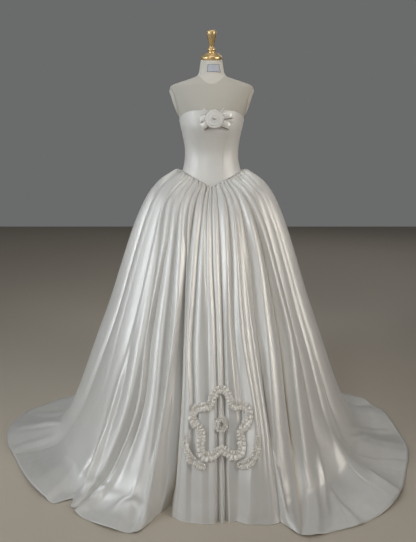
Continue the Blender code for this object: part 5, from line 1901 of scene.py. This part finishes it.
@dataclass
class Applique:
    """Ruched ribbon flower with a heart and two leaves, low on the skirt's front."""

    finishes: Finishes
    front: Grid
    x: float = 0.028
    z: float = 0.262
    petals: int = 5
    petal_radius: float = 0.100
    petal_notch: float = 0.32
    band_width: float = 0.027
    band_lift: float = 0.0022
    leaf_lift: float = 0.0011
    wall: float = 0.0012
    ruche_high: float = 0.0068
    petal_ruches: int = 64
    leaf_ruches: int = 20
    leaf_from: float = -66.0
    leaf_to: float = -14.0
    leaf_radius: float = 0.122
    leaf_bow: float = 0.014
    heart_radius: float = 0.024
    heart_reach: float = 0.62
    heart_band: float = 0.7
    heart_ruches: int = 17
    bridge: float = 0.009
    bridged: tuple = ((0.5, 0), (-0.5, 0), (1, 0), (-1, 0), (0, 1), (0, -1),
                      (0.6, 0.6), (-0.6, 0.6), (0.6, -0.6), (-0.6, -0.6))
    lean_reach: float = 0.040
    fine: int = 14
    columns: int = 19
    thick: float = 0.0006
    tip_share: float = 0.45
    puff_sizes: tuple = (0.40, 1.20)
    puff_leans: tuple = (-0.80, 0.80)
    puff_reaches: tuple = (-0.16, 0.14)
    crumple: float = 0.24
    edge_curl: float = 0.10
    soften_over: int = 4
    seed: int = 7

    def __post_init__(self) -> None:
        """Prepares the skirt's face for lines met along Y."""
        columns, rows = self.front.shape[:2]
        quads = grid_quads(columns, rows, False)
        points = [Vector(point) for point in self.front.reshape(-1, 3)]
        self.tree = BVHTree.FromPolygons(points, [tuple(int(c) for c in q) for q in quads])
        self.chance = np.random.default_rng(self.seed)

    def build(self) -> None:
        """Builds and dresses each ruched band."""
        for band in Ruched:
            self.build_band(band)

    def line(self, band: Ruched) -> tuple:
        """The band's line.

        Args:
            band: which line.

        Returns:
            Its x, z points, whether it closes, its ruches, width and lift.
        """
        if band in (Ruched.PETALS, Ruched.HEART):
            is_petals = band is Ruched.PETALS
            ruches = self.petal_ruches if is_petals else self.heart_ruches
            angle = np.arange(ruches * self.fine) * 2 * math.pi / (ruches * self.fine)
            if is_petals:
                lobe = 0.5 + 0.5 * np.cos(self.petals * angle)
                reach = self.petal_radius * (1.0 - self.petal_notch * (1.0 - lobe))
                angle = angle + math.pi / 2
                width, lift = self.band_width, self.band_lift
            else:
                reach = self.heart_radius * self.heart_reach
                width, lift = self.heart_radius * self.heart_band, self.band_lift
            points = np.stack([self.x + reach * np.cos(angle), self.z + reach * np.sin(angle)], -1)
            return points, True, ruches, width, lift
        way = 1 if band is Ruched.LEAF_LEFT else -1
        share = np.linspace(0.0, 1.0, self.leaf_ruches * self.fine + 1)
        angle = np.radians(self.leaf_from + (self.leaf_to - self.leaf_from) * share)
        radius = self.leaf_radius + self.leaf_bow * np.sin(math.pi * share)
        points = np.stack([self.x + way * radius * np.cos(angle),
                           self.z + radius * np.sin(angle)], -1)
        return points, False, self.leaf_ruches, self.band_width, self.leaf_lift

    def meet(self, x: float, z: float) -> float:
        """The y at which a line along Y meets the skirt."""
        return self.tree.ray_cast(Vector((x, -2.0, z)), Vector((0.0, 1.0, 0.0)))[0].y

    def rest(self, x: float, z: float) -> float:
        """How far forward a band lies so that it bridges the folds.

        Args:
            x: to the gown's left.
            z: height.

        Returns:
            The y of its underside.
        """
        reach = self.lean_reach
        lean_x = 0.5 * (self.meet(x + reach, z) - self.meet(x - reach, z))
        lean_z = 0.5 * (self.meet(x, z + reach) - self.meet(x, z - reach))
        nearest = self.meet(x, z)
        for dx, dz in self.bridged:
            found = self.meet(x + dx * self.bridge, z + dz * self.bridge)
            lean = (dx * lean_x + dz * lean_z) * self.bridge / reach
            nearest = min(nearest, found - lean)
        return nearest

    def build_band(self, band: Ruched) -> None:
        """Ribbon gathered along its middle, puffed on both sides of the gathering.

        Args:
            band: which line it follows.
        """
        line, ring, ruches, width, lift = self.line(band)
        if ring:
            flow = np.roll(line, -1, axis=0) - np.roll(line, 1, axis=0)
        else:
            flow = np.gradient(line, axis=0)
        flow /= np.linalg.norm(flow, axis=1, keepdims=True)
        side = np.stack([-flow[:, 1], flow[:, 0]], -1)
        index = np.arange(len(line))
        wave = index / self.fine
        full = 1.0 if ring else np.sin(math.pi * index / (len(line) - 1)).clip(0.0, 1.0)
        taper = self.tip_share + (1.0 - self.tip_share) * np.sqrt(full) * np.ones(len(line))
        across = np.linspace(1.0, -1.0, self.columns)[None, :]
        puff, frill = self.puffs(wave, across, ruches)
        half = 0.5 * width * taper
        x = line[:, :1] + side[:, :1] * half[:, None] * across * frill
        z = line[:, 1:] + side[:, 1:] * half[:, None] * across * frill
        y = self.seat(line, side, half, across)
        high = self.wall + self.ruche_high * puff
        grid = np.stack([x, y - lift - high, z], -1)
        # Painted shade in the creases between puffs.
        shade = 0.50 * (1.0 - 1.45 * puff).clip(0.0, 1.0)
        made = cloth(f"ruched_{band.value}", grid, self.thick, ring, flat_places(grid), shade)
        made = made.dress(self.finishes.ruche, "ribbon", band.value)

    def puffs(self, wave: Array, across: Array, ruches: int) -> tuple:
        """Two staggered rows of small puffs either side of the gathering thread.

        Args:
            wave: place along the band, counted in ruches.
            across: place across it, 1 to -1.
            ruches: how many there are.

        Returns:
            Height of the cloth, 0 to about 1, and its reach sideways.
        """
        off = np.abs(across)
        dome = 0.12 + 0.88 * smoothstep(off / 0.42) * (1.0 - 0.5 * smoothstep((off - 0.6) / 0.4))
        puff = np.zeros((len(wave), across.shape[1]))
        frill = np.ones_like(puff)
        for way, stagger in ((1, 0.0), (-1, 0.5)):
            place = wave + stagger
            which = np.floor(place).astype(int) % ruches
            size, lean, reach = (self.chance.uniform(*limits, ruches)[which][:, None]
                                 for limits in (self.puff_sizes, self.puff_leans,
                                                self.puff_reaches))
            inside = (place % 1.0)[:, None]
            hump = np.sin(math.pi * inside) ** 0.7
            crest = np.clip(0.5 + lean * (off - 0.4), 0.12, 0.88)
            ridge = 1.0 - np.abs(inside - crest) / np.where(inside > crest, 1.0 - crest, crest)
            here = np.sign(across) == way
            puff = np.where(here, dome * size * (0.20 * hump + 0.80 * ridge), puff)
            frill = np.where(here, 1.0 + (reach + 0.14) * hump - 0.09, frill)
        crumple = np.sin(2 * math.pi * (2.3 * wave[:, None] + 1.7 * across))
        crumple = crumple * np.sin(2 * math.pi * (1.3 * wave[:, None] - 1.1 * across) + 0.7)
        edge = self.edge_curl * off ** 4 * (1.0 + np.sin(2 * math.pi * 1.5 * wave[:, None] + 2.0))
        return puff + self.crumple * crumple * dome + edge, frill

    def seat(self, line: Array, side: Array, half: Array, across: Array) -> Array:
        """Where the band's underside lies: smooth at its middle and both its edges.

        Args:
            line: its middle's x, z points.
            side: the way across at each.
            half: half its width at each.
            across: places across, 1 to -1.

        Returns:
            Its y, line x across.
        """
        base = []
        for reach in (1.0, 0.0, -1.0):
            places = line + side * half[:, None] * reach
            base.append([self.rest(x, z) for x, z in places])
        edge, middle, other = (self.soften(np.array(one)) for one in base)
        lift = middle[:, None] + 0.5 * (edge - other)[:, None] * across
        return lift + (0.5 * (edge + other) - middle)[:, None] * across ** 2

    def soften(self, values: Array) -> Array:
        """Running mean over neighbours, kept forward of what it smooths.

        Args:
            values: y along a line.

        Returns:
            The smooth y.
        """
        wide = np.pad(values, self.soften_over, mode="edge")
        count = 2 * self.soften_over + 1
        mean = np.convolve(wide, np.ones(count) / count, mode="valid")
        return np.minimum(values, mean)


@dataclass
class Studio:
    """Pale floor, soft lights and the camera."""

    finishes: Finishes
    floor_size: float = 16.0
    floor_drop: float = 0.0002
    backdrop: tuple = (0.145, 0.147, 0.148)
    ambient: float = 0.4
    camera_place: tuple = (-0.016, -2.16, 1.0906)
    picture: tuple = (416, 542)
    sensor: float = 36.0
    focal_pixels: float = 480.0
    shift_pixels: float = -96.0

    def build(self) -> None:
        """Builds the floor, lights and camera."""
        half = self.floor_size / 2
        points = np.array([(-half, -half, 0), (half, -half, 0), (half, half, 0), (-half, half, 0)])
        points = points - np.array([0, 0, self.floor_drop])
        floor = Piece("studio_floor", points, [(0, 1, 2, 3)]).object
        floor.data.materials.append(self.finishes.studio_floor)
        cool, even, warm = (0.91, 0.965, 1.0), (1.0, 0.99, 0.97), (1.0, 0.945, 0.87)
        self.light("key", (-2.5, -1.4, 2.0), (0.0, 0.0, 1.15), (0.8, 2.6), 10.8, cool, 100.0)
        self.light("edge", (-2.7, 0.3, 2.0), (0.0, 0.0, 1.1), (0.5, 2.2), 5.0, cool)
        self.light("fill", (2.5, -1.6, 2.1), (0.0, 0.0, 1.30), (0.80, 2.4), 7.0, warm, 72.0)
        self.light("front", (-1.0, -3.1, 1.9), (0.0, 0.0, 1.0), (0.35, 1.7), 15.0, even)
        self.light("overhead", (0.0, -0.9, 3.2), (0.0, 0.0, 0.8), (1.0, 1.0), 5.0, even)
        self.light("behind", (2.0, 5.0, 4.2), (0.0, 0.0, 0.8), (3.0, 3.0), 20.0, even)
        self.light("ceiling", (0.0, 0.0, 6.0), (0.0, 0.0, 0.0), (15.0, 15.0), 80.0, even)
        world = bpy.data.worlds.new("studio")
        world.use_nodes = True
        kit = NodeTree(world.node_tree)
        seen = kit.add("ShaderNodeLightPath").outputs["Is Camera Ray"]
        shade = world.node_tree.nodes["Background"]
        shade.inputs[0].default_value = (*self.backdrop, 1.0)
        kit.feed(shade, 1, kit.maths("MULTIPLY_ADD", seen, 1.0 - self.ambient, self.ambient))
        bpy.context.scene.world = world
        bpy.context.scene.view_settings.view_transform = "Standard"
        self.camera()

    @staticmethod
    def light(name: str, place: tuple, aim: tuple, size: tuple, power: float,
              colour: tuple, spread: float = 180.0) -> None:
        """Large soft area light.

        Args:
            name: its name.
            place: where it hangs.
            aim: what it faces.
            size: its width and height.
            power: in watts.
            colour: linear.
            spread: how wide it shines, in degrees.
        """
        lamp = bpy.data.lights.new(name, "AREA")
        lamp.spread = math.radians(spread)
        lamp.shape = "RECTANGLE"
        lamp.size, lamp.size_y = size
        lamp.energy = power
        lamp.color = colour
        made = bpy.data.objects.new(name, lamp)
        made.location = place
        way = Vector(aim) - Vector(place)
        made.rotation_euler = way.to_track_quat("-Z", "Y").to_euler()
        bpy.context.scene.collection.objects.link(made)

    def camera(self) -> None:
        """Camera that looks level at the gown, its frame shifted down."""
        lens = bpy.data.cameras.new("camera")
        lens.sensor_fit = "VERTICAL"
        lens.sensor_width = lens.sensor_height = self.sensor
        lens.lens = self.focal_pixels / self.picture[1] * self.sensor
        lens.shift_y = self.shift_pixels / self.picture[1]
        made = bpy.data.objects.new("camera", lens)
        made.location = self.camera_place
        made.rotation_euler = (math.radians(90.0), 0.0, 0.0)
        bpy.context.scene.collection.objects.link(made)
        bpy.context.scene.camera = made


SKIRT_FOLDS = (
    Fold(((-43.0, 12.4), (-43.6, 13.2), (-44.6, 14.6), (-44.2, 16.8)), 3.0, 0.012, 0.7, 0.2),
    Fold(((-22.4, 12.8), (-22.8, 13.8), (-26.0, 14.8), (-28.8, 16.9)), 1.2, 0.006, 0.8, 0.4),
    Fold(((-28.0, 12.4), (-30.5, 13.5), (-32.8, 16.4)), 3.4, 0.004),
    Fold(((45.0, 11.4), (50.0, 13.9), (50.8, 15.5), (47.5, 16.9)), 5.2, 0.014, 0.5, 0.2),
    Fold(((39.5, 11.8), (36.5, 13.6), (32.2, 15.2), (27.5, 16.6)), 2.0, 0.013, 0.7),
    Fold(((37.0, 13.8), (35.8, 15.6), (34.5, 17.0)), 1.6, 0.005, 0.6, 0.6),
    Fold(((60.8, 12.9), (78.5, 15.0), (81.2, 16.4)), 1.8, 0.008, 0.5),
    Fold(((61.0, 13.4), (69.8, 14.7), (77.0, 15.6)), 1.3, 0.007, 0.6),
    Fold(((57.5, 14.2), (60.2, 15.2), (62.8, 16.0), (64.8, 17.0)), 1.1, 0.008, 0.6, 0.7),
    Fold(((55.5, 14.7), (52.0, 16.0), (50.5, 17.0)), 1.1, 0.006, 1.0, 0.7),
    Fold(((-76.0, 13.8), (-81.5, 15.6), (-82.0, 16.6)), 2.2, 0.009, 0.6),
    Fold(((-87.0, 14.0), (-92.5, 16.4)), 2.2, 0.009, 0.6),
    Fold(((-73.0, 14.4), (-72.8, 16.0), (-71.5, 17.0)), 1.6, 0.007, 1.0, 0.8),
    Fold(((-54.0, 14.8), (-52.0, 16.3), (-50.0, 17.0)), 3.6, 0.004, 1.0, 0.7),
    Fold(((98.0, 13.2), (104.0, 15.0), (106.0, 16.8)), 2.2, 0.010, 0.5, 0.4),
    Fold(((117.0, 12.6), (121.0, 14.4), (119.0, 17.0)), 2.8, 0.015, 0.5, 0.3),
    Fold(((133.0, 13.4), (136.0, 15.4), (141.0, 17.0)), 1.4, 0.008, 0.6, 0.6),
    Fold(((152.0, 12.4), (149.0, 14.4), (151.0, 16.8)), 3.0, 0.016, 0.4, 0.3),
    Fold(((169.0, 13.2), (172.0, 15.6), (170.0, 17.0)), 1.5, 0.008, 0.7, 0.6),
    Fold(((188.0, 12.6), (184.0, 14.6), (187.0, 17.0)), 2.6, 0.014, 0.5, 0.4),
    Fold(((206.0, 13.4), (203.0, 15.2), (200.0, 17.0)), 1.3, 0.007, 0.7, 0.6),
    Fold(((221.0, 12.4), (224.0, 14.6), (222.0, 16.8)), 3.0, 0.016, 0.4, 0.3),
    Fold(((240.0, 13.2), (237.0, 15.2), (239.0, 17.0)), 1.8, 0.009, 0.6, 0.6),
    Fold(((257.0, 13.0), (254.0, 15.0), (256.0, 16.8)), 2.4, 0.012, 0.5, 0.4),
)


def main() -> None:
    """Builds every sub-assembly in order."""
    logging.basicConfig(level=logging.INFO, format="%(message)s")
    finishes = Finishes()
    form = FormShape()
    DressForm(form, finishes).build()
    Bodice(form, finishes).build()
    skirt = Skirt(SkirtShape(form), finishes, folds=SKIRT_FOLDS)
    skirt.build()
    Rosette(form, finishes).build()
    Applique(finishes, skirt.front).build()
    Studio(finishes).build()


if __name__ == "__main__":
    main()
